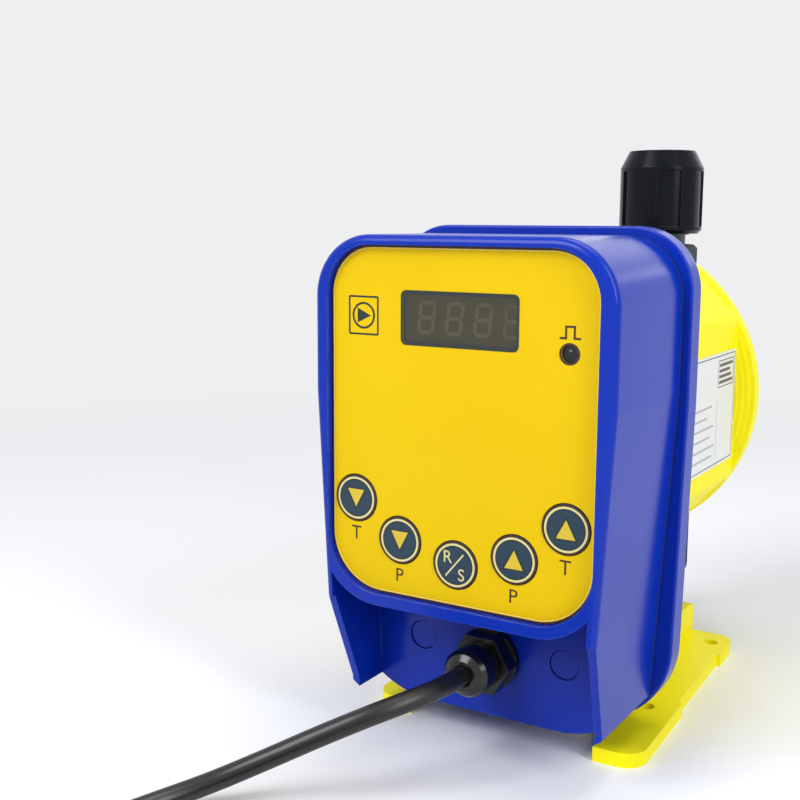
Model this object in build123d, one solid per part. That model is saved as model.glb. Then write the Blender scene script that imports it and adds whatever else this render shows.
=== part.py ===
"""Solenoid driven diaphragm metering pump with a keypad control box.

Frame: X to the right of the control panel, Y from the panel towards the liquid
end, Z up.  The origin is the centre of the four foot bolts, on the standing
surface.  Millimetres.  Depths ("d" values) are counted along +Y from the face
of the keypad panel.
"""
import os
from math import asin, atan2, cos, degrees, pi, radians, sin, sqrt, tan

from build123d import *

os.makedirs("parts", exist_ok=True)

# ---------------------------------------------------------------- fits
FIT = 0.05              # radial play of a running or slip fit
GAP = 0.3               # air between neighbours that never touch
EDGE = 0.8              # small moulded edge radius
PAST = 10.0             # cutting tools reach this far past what they cut

# ---------------------------------------------------------------- layout
FRONT = -111.0          # Y of the keypad panel's face
AXIS_Z = 112.5          # height of the solenoid and diaphragm axis

# ---------------------------------------------------------------- foot plate
BASE_T = 5.0
BASE_FRONT = 32.0       # d of the front edge
BASE_BACK = 160.0       # d of the rear edge
BASE_FRONT_HALF = 51.4
BASE_BACK_HALF = 45.6
BASE_CORNER = 8.0
BASE_MOUTH_HALF = 35.0  # half width of the cut-out for the lead
BASE_MOUTH_D = 51.0     # d of the bottom of that cut-out
FLANK_FROM = 82.0       # the flanks step in between these depths
FLANK_TO = 137.0
FLANK_STEP = 1.5
FOOT_BOLT_X = 78.0      # hole spacings
FOOT_BOLT_Y = 76.0
FOOT_BOLT_R = 2.75
PEDESTAL_HALF = 28.0
PEDESTAL_TOP_HALF = 22.0
PEDESTAL_FROM = 66.0
PEDESTAL_WALL = 4.0
PEDESTAL_ROOF = 6.0
PEDESTAL_R = 3.2        # radius of its upright edges
PLINTH_TOP = 17.5       # height of the low tail of the pedestal
BASE_SCREW_X = 13.0
BASE_SCREW_FROM = 80.0
BASE_SCREW_GRIP = 9.0   # thread inside the solenoid body
M5_R = 2.5
M5_HEAD_R = 4.25
M5_HEAD_H = 5.0

# ---------------------------------------------------------------- control box
HOUSING_FRONT = -2.5    # d of the bezel's face
HOUSING_BACK = 53.0
HOUSING_TOP = 172.8
HOUSING_HALF = 52.4     # half width from the bend up
HOUSING_BEND_Z = 122.0
HOUSING_TUCK = 6.0      # how far each side leans in to the foot
HOUSING_FOOT_HALF = HOUSING_HALF - HOUSING_TUCK
HOUSING_BOTTOM = 10.1
SOLE_FLAT = 24.0        # half width of the flat underside
SOLE_R = 36.0           # radius that joins it to the sides
TOP_CORNER = 20.0
BEZEL_R = 2.6
WALL = 3.0
FACE_WALL = 2.5         # wall behind the keypad overlay
SKIRT_LEAN_TOP = -1.0   # d where the skirt's front edge starts
SKIRT_LEAN_FOOT = 11.0  # d where it ends
SKIRT_FOOT_Z = 19.5

BEZEL_W = 5.4           # bar of the bezel beside the panel
PANEL_HALF = HOUSING_HALF - BEZEL_W
PANEL_BOTTOM = 56.0
PANEL_TOP = 169.4
PANEL_R_TOP = 15.5
PANEL_R_BOTTOM = 19.0
PANEL_PLAY = 0.15
OVERLAY_T = 1.2
LIP = 4.0               # bar of the bezel under the panel

RECESS_BACK = 26.0      # d of the cable bay's back wall
BAY_BOSS_X = 26.7
BAY_BOSS_Z = 33.5
BAY_BOSS_R = 6.6
PLUG_R = 4.9
PLUG_T = 2.0
PLUG_INSET = 0.5
COUNTERBORE = 9.0       # depth of the pockets for the lower screw heads
TOP_BOSS_INSET = 8.4
TOP_BOSS_X = HOUSING_HALF - TOP_BOSS_INSET
TOP_BOSS_Z = 160.5
TOP_BOSS_R = 4.7
TOP_BOSS_FROM = 35.0
SCREW_R = 2.0
SCREW_HEAD_R = 3.5
SCREW_HEAD_H = 3.0

# ---------------------------------------------------------------- keypad
KEY_R = 7.75
KEY_PROUD = 0.3
KEY_BODY = 4.2          # d of the back of the key's disc
KEY_FLANGE_R = 8.7
KEY_FLANGE_T = 0.8
KEY_STEM_R = 2.0
KEY_STEM_END = 5.6
KEY_TRAVEL = 0.5
KEY_INSET = 9.6         # outer keys inside the panel's edge
KEY_OUTER_X = PANEL_HALF - KEY_INSET
KEY_INNER_X = 20.5
KEYS = {
    "key_time_down": (-KEY_OUTER_X, 86.7),
    "key_pulse_down": (-KEY_INNER_X, 74.75),
    "key_run_stop": (0.0, 69.7),
    "key_pulse_up": (KEY_INNER_X, 74.75),
    "key_time_up": (KEY_OUTER_X, 86.7),
}
SWITCH = 6.0            # square body of a tactile switch
SWITCH_H = 3.5
SWITCH_TIP_R = 1.6
WINDOW_W = 40.4
WINDOW_H = 16.4
WINDOW_Z = 147.0
WINDOW_LEDGE = 1.0
WINDOW_R = 1.5
MODULE_INSET = 0.5      # display module inside the window's outline
LAMP_INSET = 10.0
LAMP_X = PANEL_HALF - LAMP_INSET
LAMP_Z = 139.0
LAMP_R = 2.5
LAMP_FLANGE_R = 2.9
BOARD_D = 11.0
BOARD_T = 1.6
BOARD_INSET = 5.0
BOARD_HALF = PANEL_HALF - BOARD_INSET
BOARD_BOTTOM = 63.5
BOARD_TOP = 163.5
BOARD_POST_INSET = 3.5
BOARD_POST_X = BOARD_HALF - BOARD_POST_INSET
BOARD_POST_LOW = 69.0
BOARD_POST_HIGH = 158.5
BOARD_POST_R = 3.0
M3_R = 1.5
M3_HEAD_R = 2.75

# ---------------------------------------------------------------- rear cover
RIM_FRONT = 54.0
RIM_BACK = 63.0
RIM_PROUD = 3.0         # rim of the cover beyond the housing
RIM_HALF = HOUSING_HALF + RIM_PROUD
RIM_TUCK = 2.7
RIM_FOOT_HALF = RIM_HALF - RIM_TUCK
RIM_BEND_Z = 118.0
RIM_TOP = 175.6
RIM_TOP_R = 21.0
RIM_FOOT_R = 30.0
COVER_T = 4.0           # plate behind the pocket
COVER_SCREW_X = 32.0
COVER_SCREW_Z = 34.0    # above and below the axis
COVER_SCREW_LENGTH = 12.0
WIRE_R = 4.0
WIRE_DROP = 25.0        # wire hole, below the axis
POWER_D = 36.0
POWER_HALF = 36.0
POWER_LOW = 92.0
POWER_HIGH = 152.0
POWER_POST_X = 20.0
POWER_POST_INSET = 6.0
POWER_POST_R = 2.6
TERMINAL_W = 30.0       # mains terminal block
TERMINAL_H = 11.0
TERMINAL_T = 13.0
TERMINAL_WAYS = 3
CAPACITOR_R = 8.0
CAPACITOR_LENGTH = 18.0

# ---------------------------------------------------------------- solenoid body
BARREL_HALF = 51.7
BARREL_FLAT = 29.5      # half height of the flat sides
BARREL_SHOULDER = (39.0, 43.5)
BARREL_CROWN = 22.0     # half width of the top and bottom flats
BARREL_TOP = 52.0
BARREL_R = 4.0
BEAD_W = 3.0
BEAD_H = 0.9
BARREL_BACK = 121.0
DISC_R = 59.0
DISC_T = 6.0
DISC_BACK = BARREL_BACK + DISC_T
DISC_STEP = 0.8
DISC_RINGS = 3
DISC_RING_W = 2.0
PEDESTAL_TO = BARREL_BACK - DISC_STEP * DISC_RINGS - GAP
BASE_SCREW_INSET = 15.0 # rear base screws before the barrel's back
BASE_SCREW_TO = BARREL_BACK - BASE_SCREW_INSET
BARREL_FACE = 4.0       # front wall
CUP_R = 38.0
CUP_T = 4.5
CUP_FLOOR = 5.0
POLE_T = 6.0
POLE_INSET = 3.0        # back of the pole plate inside the barrel's back
CUP_FRONT = RIM_BACK + BARREL_FACE
CUP_BACK = BARREL_BACK - POLE_INSET - POLE_T
BOBBIN_R = 12.3
BOBBIN_T = 1.4
BOBBIN_FLANGE = 1.6
BOBBIN_AIR = 4.0        # between the bobbin and the pole plate
BOBBIN_BACK = CUP_BACK - BOBBIN_AIR
WINDING_R = 31.0
COIL_FRONT = CUP_FRONT + CUP_FLOOR
NOSE_SHARE = 5 / 9      # where along the coil the pole's nose ends
NOSE_FRONT = COIL_FRONT + NOSE_SHARE * (BOBBIN_BACK - COIL_FRONT)
ARMATURE_AIR = 1.5      # in front of the armature
ARMATURE_FRONT = COIL_FRONT + ARMATURE_AIR
STROKE = 1.25
STROKE_SLACK = 0.25     # air left at the end of the stroke
ROD_R = 4.0
ROD_PAST = 3.2          # its tip inside the diaphragm's hub, behind the adapter
BUSH_R = 5.6
BUSH_LENGTH = 8.0
SPRING_R = 6.9
SPRING_WIRE = 0.7
SPRING_TURNS = 4
SPRING_SEAT = 9.0       # depth of its pocket in the armature
LABEL_T = 0.5
LABEL_BELOW = 22.5      # the label's edges below and above the axis
LABEL_ABOVE = 18.5
LABEL_LOW = AXIS_Z - LABEL_BELOW
LABEL_HIGH = AXIS_Z + LABEL_ABOVE
LABEL_FROM = 68.0
LABEL_INSET = 3.0       # rear edge of the label before the barrel's back
LABEL_TO = BARREL_BACK - LABEL_INSET

# ---------------------------------------------------------------- liquid end
ADAPTER_R = 39.0
ADAPTER_BORE = 26.0
ADAPTER_LIP = 6.0       # length of the seat behind the diaphragm
ADAPTER_LENGTH = 33.0
ADAPTER_BACK = DISC_BACK + ADAPTER_LENGTH
ROD_TIP = ADAPTER_BACK + ROD_PAST
ADAPTER_SLOT = 10.0     # drain and leak slots
BACKING_R = 14.5
BACKING_T = 3.0
DIAPHRAGM_R = 28.0
DIAPHRAGM_T = 2.5
DIAPHRAGM_HUB = 8.0
ROLL_W = 6.0            # width of the rolled ring in the diaphragm
ROLL_RISE = 1.6
HEAD_R = 39.0
HEAD_BEHIND = 33.0      # back of the head behind the adapter
HEAD_BACK = ADAPTER_BACK + HEAD_BEHIND
HEAD_EDGE = 1.5
CHAMBER_R = 22.0
CHAMBER_DEPTH = 4.0
PORT_R = 3.5
HEAD_BOLT_PCD = 64.0
HEAD_BOLT_GRIP = 18.0   # thread inside the adapter
WASHER_T = 1.0
WASHER_RIM = 1.0        # how far the washer shows round the bolt head
FLOW_BEHIND = 18.7      # line through both valves, behind the adapter
FLOW_D = ADAPTER_BACK + FLOW_BEHIND

# Valve stack, as distances from the axis outwards
SPIGOT_IN = 25.5        # inner end of the valve body's spigot
HEX_IN = 40.0
HEX_OUT = 55.0
NECK_OUT = 59.0
THREAD_OUT = 73.5
NUT_IN = 59.5
NUT_OUT = 94.0
SPIGOT_R = 10.0
SPIGOT_WALL = 2.0
HEX_AF = 29.0
NECK_R = 10.8
THREAD_R = 12.2
NUT_R = 17.35
NUT_PLAY = 0.3
NUT_SHOULDER = 7.0
NUT_CROWN_R = 13.8
NUT_PANELS = 6
NUT_PANEL_ANGLE = 34.0
NUT_PANEL_DEPTH = 0.9
NUT_ROOF = 7.0
TUBE_HOLE_R = 4.6
NIPPLE_R = 2.9
NIPPLE_BORE = 1.6
NIPPLE_FLANGE_R = 9.0
NIPPLE_FLANGE_T = 2.5
NIPPLE_OUT = 86.0
NIPPLE_TAPER = 3.0      # length of its tapered tip
NIPPLE_TIP_R = 2.0
CLAMP_IN = 78.5
CLAMP_R = 8.5
CLAMP_BORE = 4.1
CLAMP_TAPER = 2.0
SEAT_T = 4.0
SEAT_R = 3.4
BALL_R = 4.75
BALL_LIFT = 1.5
BALL_AIR = 0.1
SEAL_T = 1.0
SEAL_W = 3.0

# ---------------------------------------------------------------- mains lead
CORD_R = 3.3
GLAND_Z = 31.0
GLAND_THREAD_R = 7.6
GLAND_HEX_AF = 19.0
GLAND_FLANGE_R = 10.6
GLAND_FLANGE_T = 2.5
GLAND_HEX_FRONT = 17.0
GLAND_TAIL = 38.0
GLAND_NUT_R = 8.0
GLAND_NUT_FRONT = 5.0
GLAND_NUT_DOME = 3.0    # rounding of its mouth
GLAND_PLAY = 0.4
GLAND_SPIGOT_R = 6.2
SEAL_FRONT = 8.0
SEAL_BACK = 13.0
LOCKNUT_T = 4.0
CORD_ROUTE = [
    (0.0, -103.0, 31.0),
    (0.0, -116.4, 31.5),
    (-4.4, -129.0, 30.5),
    (-13.0, -139.9, 27.4),
    (-26.0, -148.3, 20.8),
    (-40.5, -157.0, 12.8),
    (-53.5, -168.5, 6.4),
    (-63.5, -184.0, 3.6),
    (-69.2, -202.0, 3.3),
    (-70.6, -221.0, 3.3),
    (-70.6, -239.0, 3.3),
]
COIL_X = -26.0
COIL_Y = -239.0
COIL_MEAN_R = 38.0
COIL_LEAVE = 315.0      # polar angle at which the lead leaves the coil
COIL_LAYERS = 2
COIL_TURNS_A_LAYER = 3
COIL_EDGE = 2.0         # rounding of the wound coil's edges
TAIL_FROM = 12.0        # along the tangent where the lead leaves the coil
TAIL_TO = 30.0
PLUG_LENGTH = 34.0
PLUG_HALF_W = 18.0
PLUG_H = 26.0
PLUG_CORNER = 8.5
PLUG_SHOULDER = 4.3
PLUG_NECK = 22.0
PLUG_NECK_R = 6.0
PLUG_NECK_TIP = 4.4
PIN_LENGTH = 17.0
PIN_W = 6.3
PIN_T = 1.6
PIN_SPREAD = 7.9
PIN_LOW = 3.0
PIN_HIGH = 7.0
PIN_TILT = 30.0


# ================================================================ helpers
def station(d):
    """Plane across the pump at depth d: local x is X, local y is Z."""
    return Plane(origin=(0, FRONT + d, 0), x_dir=(1, 0, 0), z_dir=(0, -1, 0))


def slab(shape, d_from, d_to):
    """Extrude a section from one depth to another."""
    return extrude(station(d_from) * shape, amount=d_to - d_from, dir=(0, 1, 0))


def lying(x, z, radius, d_from, d_to):
    """Cylinder along Y."""
    return slab(Pos(x, z) * Circle(radius), d_from, d_to)


def pipe(x, z, r_out, r_in, d_from, d_to):
    return slab(Pos(x, z) * (Circle(r_out) - Circle(r_in)), d_from, d_to)


def upright(shape, z_from, z_to):
    """Extrude a plan section upwards."""
    return extrude(Plane.XY.offset(z_from) * shape, amount=z_to - z_from)


def spin_y(points, x=0.0, z=AXIS_Z):
    """Revolve an (radius, depth) outline about a line along Y."""
    outline = Plane(origin=(x, FRONT, z), x_dir=(1, 0, 0), z_dir=(0, 0, 1))
    face = outline * make_face(Polyline(*points, close=True))
    return revolve(face, Axis((x, FRONT, z), (0, 1, 0)), 360)


def hexagon(across_flats):
    return RegularPolygon(across_flats / 2 / cos(pi / 6), 6)


def as_group(solids):
    return Compound(children=[s for item in solids for s in item.solids()])


PARTS = {}


def keep(name, shape):
    PARTS[name] = shape


def closed_by_mirror(curves):
    half = Curve() + curves
    return make_face(half + mirror(half, about=Plane.YZ))


# ================================================================ outlines
def housing_side(z):
    """Half width of the control box at height z, below its bend."""
    rise = HOUSING_BEND_Z - HOUSING_BOTTOM
    share = (z - HOUSING_BOTTOM) / rise
    return HOUSING_FOOT_HALF + (HOUSING_HALF - HOUSING_FOOT_HALF) * share


def housing_face(inset=0.0):
    half = HOUSING_HALF - inset
    foot = HOUSING_FOOT_HALF - inset
    low = HOUSING_BOTTOM + inset
    sole = SOLE_R - inset
    corner = TOP_CORNER - inset
    top = HOUSING_TOP - inset
    turn = degrees(asin((foot - SOLE_FLAT) / sole))
    underside = Line((0, low), (SOLE_FLAT, low))
    heel = JernArc((SOLE_FLAT, low), (1, 0), sole, turn)
    side = Polyline(heel @ 1, (half, HOUSING_BEND_Z), (half, top - corner))
    shoulder = JernArc((half, top - corner), (0, 1), corner, 90)
    crown = Line(shoulder @ 1, (0, top))
    return closed_by_mirror([underside, heel, side, shoulder, crown])


def panel_face(grow=0.0):
    half = PANEL_HALF + grow
    bottom = PANEL_BOTTOM - grow
    top = PANEL_TOP + grow
    height = top - bottom
    sheet = Pos(0, bottom + height / 2) * Rectangle(2 * half, height)
    corners = sheet.vertices().sort_by(Axis.Y)
    sheet = fillet(corners[:2], PANEL_R_BOTTOM + grow)
    corners = [v for v in sheet.vertices() if v.Y > top - EDGE]
    return fillet(corners, PANEL_R_TOP + grow)


def rim_face():
    outline = Polyline(
        (-RIM_FOOT_HALF, BASE_T), (RIM_FOOT_HALF, BASE_T), (RIM_HALF, RIM_BEND_Z),
        (RIM_HALF, RIM_TOP), (-RIM_HALF, RIM_TOP), (-RIM_HALF, RIM_BEND_Z),
        close=True)
    face = make_face(outline)
    low = [v for v in face.vertices() if v.Y < BASE_T + EDGE]
    face = fillet(low, RIM_FOOT_R)
    high = [v for v in face.vertices() if v.Y > RIM_TOP - EDGE]
    return fillet(high, RIM_TOP_R)


def barrel_face():
    x_mid, z_mid = BARREL_SHOULDER
    quarter = [(BARREL_HALF, BARREL_FLAT), (x_mid, z_mid), (BARREL_CROWN, BARREL_TOP)]
    upper = quarter + [(-x, z) for x, z in reversed(quarter)]
    lower = [(x, -z) for x, z in reversed(upper)]
    face = make_face(Polyline(*upper, *lower, close=True))
    face = fillet(face.vertices(), BARREL_R)
    lean = degrees(atan2(x_mid - BARREL_CROWN, BARREL_TOP - z_mid))
    for side in (1, -1):
        bead = Rectangle(BEAD_W, 2 * BEAD_H)
        face += Pos(side * (x_mid - BEAD_H), z_mid - BEAD_H) * Rot(0, 0, -side * lean) * bead
    return Pos(0, AXIS_Z) * face


# ================================================================ foot plate
def make_base():
    front, back = FRONT + BASE_FRONT, FRONT + BASE_BACK
    sheet = make_face(Polyline(
        (-BASE_FRONT_HALF, front), (BASE_FRONT_HALF, front),
        (BASE_BACK_HALF, back), (-BASE_BACK_HALF, back), close=True))
    sheet = fillet(sheet.vertices(), BASE_CORNER)
    mouth_depth = BASE_MOUTH_D - BASE_FRONT
    mouth = Pos(0, front) * Rectangle(2 * BASE_MOUTH_HALF, 2 * mouth_depth)
    mouth = fillet(mouth.vertices(), BASE_CORNER)
    sheet -= mouth
    slope = (BASE_FRONT_HALF - BASE_BACK_HALF) / (BASE_BACK - BASE_FRONT)
    for side in (1, -1):
        near = side * (BASE_FRONT_HALF - slope * (FLANK_FROM - BASE_FRONT) - FLANK_STEP)
        far = side * (BASE_FRONT_HALF - slope * (FLANK_TO - BASE_FRONT) - FLANK_STEP)
        edge = side * (BASE_FRONT_HALF + FLANK_STEP)
        sheet -= make_face(Polyline(
            (near, FRONT + FLANK_FROM), (edge, FRONT + FLANK_FROM),
            (edge, FRONT + FLANK_TO), (far, FRONT + FLANK_TO), close=True))
    sheet -= GridLocations(FOOT_BOLT_X, FOOT_BOLT_Y, 2, 2) * Circle(FOOT_BOLT_R)
    plate = upright(sheet, 0, BASE_T)

    saddle_z = AXIS_Z - BARREL_TOP
    length = PEDESTAL_TO - PEDESTAL_FROM
    middle = FRONT + (PEDESTAL_FROM + PEDESTAL_TO) / 2
    foot = Plane.XY.offset(BASE_T) * Pos(0, middle) * Rectangle(2 * PEDESTAL_HALF, length)
    head = Plane.XY.offset(saddle_z) * Pos(0, middle) * Rectangle(2 * PEDESTAL_TOP_HALF, length)
    column = loft([foot, head])
    column = fillet([e for e in column.edges() if e.bounding_box().size.Z > BASE_T], PEDESTAL_R)
    plinth_length = BASE_BACK - PEDESTAL_TO
    plinth = Pos(0, FRONT + PEDESTAL_TO + plinth_length / 2 - EDGE) * Rectangle(
        2 * PEDESTAL_HALF, plinth_length)
    tail = upright(plinth, BASE_T, PLINTH_TOP)
    tail = fillet(tail.edges().filter_by(Axis.X).sort_by(Axis.Z)[-1:], PEDESTAL_R)

    hollow_half = PEDESTAL_TOP_HALF - PEDESTAL_WALL
    hollow = Pos(0, middle) * Rectangle(2 * hollow_half, length - 2 * PEDESTAL_WALL)
    base = plate + column + tail
    base -= upright(hollow, 0, saddle_z - PEDESTAL_ROOF)
    tail_room = Pos(0, FRONT + PEDESTAL_TO + plinth_length / 2) * Rectangle(
        2 * (PEDESTAL_HALF - PEDESTAL_WALL), plinth_length - 2 * PEDESTAL_WALL)
    base -= upright(tail_room, 0, PLINTH_TOP - PEDESTAL_WALL)
    for x, y in base_screw_places():
        base -= upright(Pos(x, y) * Circle(M5_R + GAP), saddle_z - PEDESTAL_ROOF, saddle_z)
    keep("mounting_base", base)

    under = saddle_z - PEDESTAL_ROOF
    reach = saddle_z + BASE_SCREW_GRIP
    screws = []
    for x, y in base_screw_places():
        head_disc = upright(Pos(x, y) * Circle(M5_HEAD_R), under - M5_HEAD_H, under)
        socket = upright(Pos(x, y) * hexagon(M5_HEAD_R), under - M5_HEAD_H, under - M5_HEAD_H / 2)
        shank = upright(Pos(x, y) * Circle(M5_R), under, reach)
        screws.append(head_disc + shank - socket)
    keep("base_screws", as_group(screws))


def base_screw_places():
    return [(side * BASE_SCREW_X, FRONT + d)
            for side in (1, -1) for d in (BASE_SCREW_FROM, BASE_SCREW_TO)]


# ================================================================ control box
def recess_section():
    """The open bay under the bezel's bar, between the two skirts."""
    low = HOUSING_BOTTOM - WALL
    high = PANEL_BOTTOM + PANEL_R_BOTTOM
    inner_low = housing_side(low) - WALL
    inner_high = housing_side(high) - WALL
    bay = make_face(Polyline(
        (-inner_low, low), (inner_low, low), (inner_high, high), (-inner_high, high),
        close=True))
    return bay - panel_face(LIP)


def screw_places():
    lower = [(side * BAY_BOSS_X, BAY_BOSS_Z) for side in (1, -1)]
    upper = [(side * TOP_BOSS_X, TOP_BOSS_Z) for side in (1, -1)]
    return lower, upper


def make_front_housing():
    pocket_back = OVERLAY_T
    inner = pocket_back + FACE_WALL
    bay_back = RECESS_BACK + WALL
    shell = slab(housing_face(), HOUSING_FRONT, HOUSING_BACK)
    front_edges = shell.faces().sort_by(Axis.Y)[0].edges()
    shell = fillet(front_edges, BEZEL_R)
    shell -= slab(panel_face(PANEL_PLAY), HOUSING_FRONT, pocket_back)

    room = housing_face(WALL)
    shoulder_z = PANEL_BOTTOM + PANEL_R_BOTTOM
    above = Pos(0, shoulder_z + HOUSING_TOP / 2) * Rectangle(2 * HOUSING_HALF + PAST, HOUSING_TOP)
    shell -= slab(room & (above + panel_face(LIP - WALL)), inner, bay_back)
    shell -= slab(room, bay_back, HOUSING_BACK)
    shell -= slab(recess_section(), HOUSING_FRONT, RECESS_BACK)

    lip_z = PANEL_BOTTOM - LIP
    lean = Plane.YZ * make_face(Polyline(
        (FRONT - PAST, lip_z), (FRONT + SKIRT_LEAN_TOP, lip_z),
        (FRONT + SKIRT_LEAN_FOOT, SKIRT_FOOT_Z), (FRONT + SKIRT_LEAN_FOOT, 0),
        (FRONT - PAST, 0), close=True))
    shell -= extrude(lean, amount=HOUSING_HALF + PAST, both=True)

    lower, upper = screw_places()
    plate_front = RIM_BACK - COVER_T
    trim = slab(housing_face(WALL + GAP), HOUSING_BACK, plate_front)
    for x, z in lower:
        post = lying(x, z, BAY_BOSS_R, RECESS_BACK + WALL / 2, plate_front)
        shell += post
        shell -= lying(x, z, PLUG_R + GAP, RECESS_BACK, RECESS_BACK + COUNTERBORE)
        shell -= lying(x, z, SCREW_R + GAP, RECESS_BACK, plate_front)
    for x, z in upper:
        post = lying(x, z, TOP_BOSS_R, TOP_BOSS_FROM, HOUSING_BACK)
        shell += post
        shell += lying(x, z, TOP_BOSS_R, HOUSING_BACK, plate_front) & trim
        shell -= lying(x, z, SCREW_R + FIT, TOP_BOSS_FROM + WALL, plate_front)
    for x, z in board_post_places():
        shell += lying(x, z, BOARD_POST_R, inner, BOARD_D)
        shell -= lying(x, z, M3_R + FIT, inner + EDGE, BOARD_D)
    for x, z in KEYS.values():
        shell -= lying(x, z, KEY_R + GAP, pocket_back, inner)
    shell -= slab(window_face(-WINDOW_LEDGE), pocket_back, inner)
    shell -= lying(LAMP_X, LAMP_Z, LAMP_R + GAP, pocket_back, inner)
    shell -= lying(0, GLAND_Z, GLAND_THREAD_R + FIT, RECESS_BACK, bay_back)
    keep("front_housing", shell)


def window_face(grow):
    return Pos(0, WINDOW_Z) * RectangleRounded(
        WINDOW_W + 2 * grow, WINDOW_H + 2 * grow, WINDOW_R + max(grow, -WINDOW_R / 2))


def board_post_places():
    return [(side * BOARD_POST_X, z)
            for side in (1, -1) for z in (BOARD_POST_LOW, BOARD_POST_HIGH)]


def make_housing_fasteners():
    lower, upper = screw_places()
    seat = RECESS_BACK + COUNTERBORE
    screws = []
    for x, z in lower:
        head = lying(x, z, SCREW_HEAD_R, seat - SCREW_HEAD_H, seat)
        slot = slab(Pos(x, z) * hexagon(SCREW_HEAD_R), seat - SCREW_HEAD_H, seat - SCREW_HEAD_H / 2)
        screws.append(head + lying(x, z, SCREW_R, seat, RIM_BACK - EDGE) - slot)
    for x, z in upper:
        head = lying(x, z, SCREW_HEAD_R, RIM_BACK, RIM_BACK + SCREW_HEAD_H)
        slot = slab(Pos(x, z) * hexagon(SCREW_HEAD_R),
                    RIM_BACK + SCREW_HEAD_H / 2, RIM_BACK + SCREW_HEAD_H)
        screws.append(head + lying(x, z, SCREW_R, TOP_BOSS_FROM + WALL + EDGE, RIM_BACK) - slot)
    keep("housing_screws", as_group(screws))

    plugs = []
    for x, z in lower:
        cap = lying(x, z, PLUG_R, RECESS_BACK + PLUG_INSET, RECESS_BACK + PLUG_INSET + PLUG_T)
        stem_end = seat - SCREW_HEAD_H
        cap += pipe(x, z, PLUG_R, PLUG_R - EDGE, RECESS_BACK + PLUG_INSET + PLUG_T, stem_end)
        plugs.append(cap)
    keep("screw_plugs", as_group(plugs))

    ring = housing_face(0) - housing_face(WALL)
    keep("housing_gasket", slab(ring, HOUSING_BACK, RIM_FRONT))


def make_keypad():
    sheet = panel_face()
    for x, z in KEYS.values():
        sheet -= Pos(x, z) * Circle(KEY_R + GAP)
    sheet -= window_face(PANEL_PLAY)
    sheet -= Pos(LAMP_X, LAMP_Z) * Circle(LAMP_R + GAP)
    keep("keypad_overlay", slab(sheet, 0, OVERLAY_T))
    keep("display_window", slab(window_face(0), 0, OVERLAY_T))

    for name, (x, z) in KEYS.items():
        disc = lying(x, z, KEY_R, -KEY_PROUD, KEY_BODY)
        flange = lying(x, z, KEY_FLANGE_R, KEY_BODY - GAP, KEY_BODY - GAP + KEY_FLANGE_T)
        stem = lying(x, z, KEY_STEM_R, KEY_BODY, KEY_STEM_END)
        keep(name, disc + flange + stem)

    tip = KEY_STEM_END + KEY_TRAVEL + FIT * 2
    switches = []
    for x, z in KEYS.values():
        block = slab(Pos(x, z) * Rectangle(SWITCH, SWITCH), BOARD_D - SWITCH_H, BOARD_D)
        switches.append(block + lying(x, z, SWITCH_TIP_R, tip, BOARD_D - SWITCH_H))
    keep("key_switches", as_group(switches))


def make_electronics():
    height = BOARD_TOP - BOARD_BOTTOM
    sheet = Pos(0, BOARD_BOTTOM + height / 2) * RectangleRounded(2 * BOARD_HALF, height, WALL)
    for x, z in board_post_places():
        sheet -= Pos(x, z) * Circle(M3_R + GAP / 2)
    keep("control_board", slab(sheet, BOARD_D, BOARD_D + BOARD_T))

    screws = []
    back = BOARD_D + BOARD_T
    for x, z in board_post_places():
        head = lying(x, z, M3_HEAD_R, back, back + BOARD_T)
        screws.append(head + lying(x, z, M3_R, OVERLAY_T + FACE_WALL + 2 * EDGE, back))
    keep("board_screws", as_group(screws))

    front = OVERLAY_T + FACE_WALL + GAP
    module = slab(Pos(0, WINDOW_Z) * Rectangle(
        WINDOW_W - 2 * MODULE_INSET, WINDOW_H - 2 * MODULE_INSET), front, BOARD_D)
    keep("display_module", module)

    lamp = lying(LAMP_X, LAMP_Z, LAMP_R, EDGE, BOARD_D)
    lamp += Pos(LAMP_X, FRONT + EDGE + LAMP_R - KEY_PROUD, LAMP_Z) * Sphere(LAMP_R)
    lamp += lying(LAMP_X, LAMP_Z, LAMP_FLANGE_R, front, front + EDGE)
    keep("pulse_lamp", lamp)

    power_height = POWER_HIGH - POWER_LOW
    middle = POWER_LOW + power_height / 2
    power = Pos(0, middle) * RectangleRounded(2 * POWER_HALF, power_height, WALL)
    power_back = POWER_D + BOARD_T
    keep("power_board", slab(power, POWER_D, power_back))
    pillar_z = power_height / 2 - POWER_POST_INSET
    pillars = []
    for side in (1, -1):
        for z in (middle - pillar_z, middle + pillar_z):
            pillars.append(lying(side * POWER_POST_X, z, POWER_POST_R, power_back,
                                 RIM_BACK - COVER_T))
    keep("board_pillars", as_group(pillars))

    block_z = POWER_LOW + TERMINAL_H
    block_front = POWER_D - TERMINAL_T
    block = slab(Pos(0, block_z) * Rectangle(TERMINAL_W, TERMINAL_H), block_front, POWER_D)
    pitch = TERMINAL_W / TERMINAL_WAYS
    for i in range(TERMINAL_WAYS):
        x = (i + 0.5) * pitch - TERMINAL_W / 2
        block -= lying(x, block_z, M5_R, block_front, POWER_D - TERMINAL_T / 2)
    keep("terminal_block", block)

    can_z = POWER_HIGH - 2 * CAPACITOR_R
    keep("filter_capacitor", lying(0, can_z, CAPACITOR_R, POWER_D - CAPACITOR_LENGTH, POWER_D))


# ================================================================ rear cover
def cover_screw_places():
    return [(x * COVER_SCREW_X, AXIS_Z + z * COVER_SCREW_Z) for x in (1, -1) for z in (1, -1)]


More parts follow.
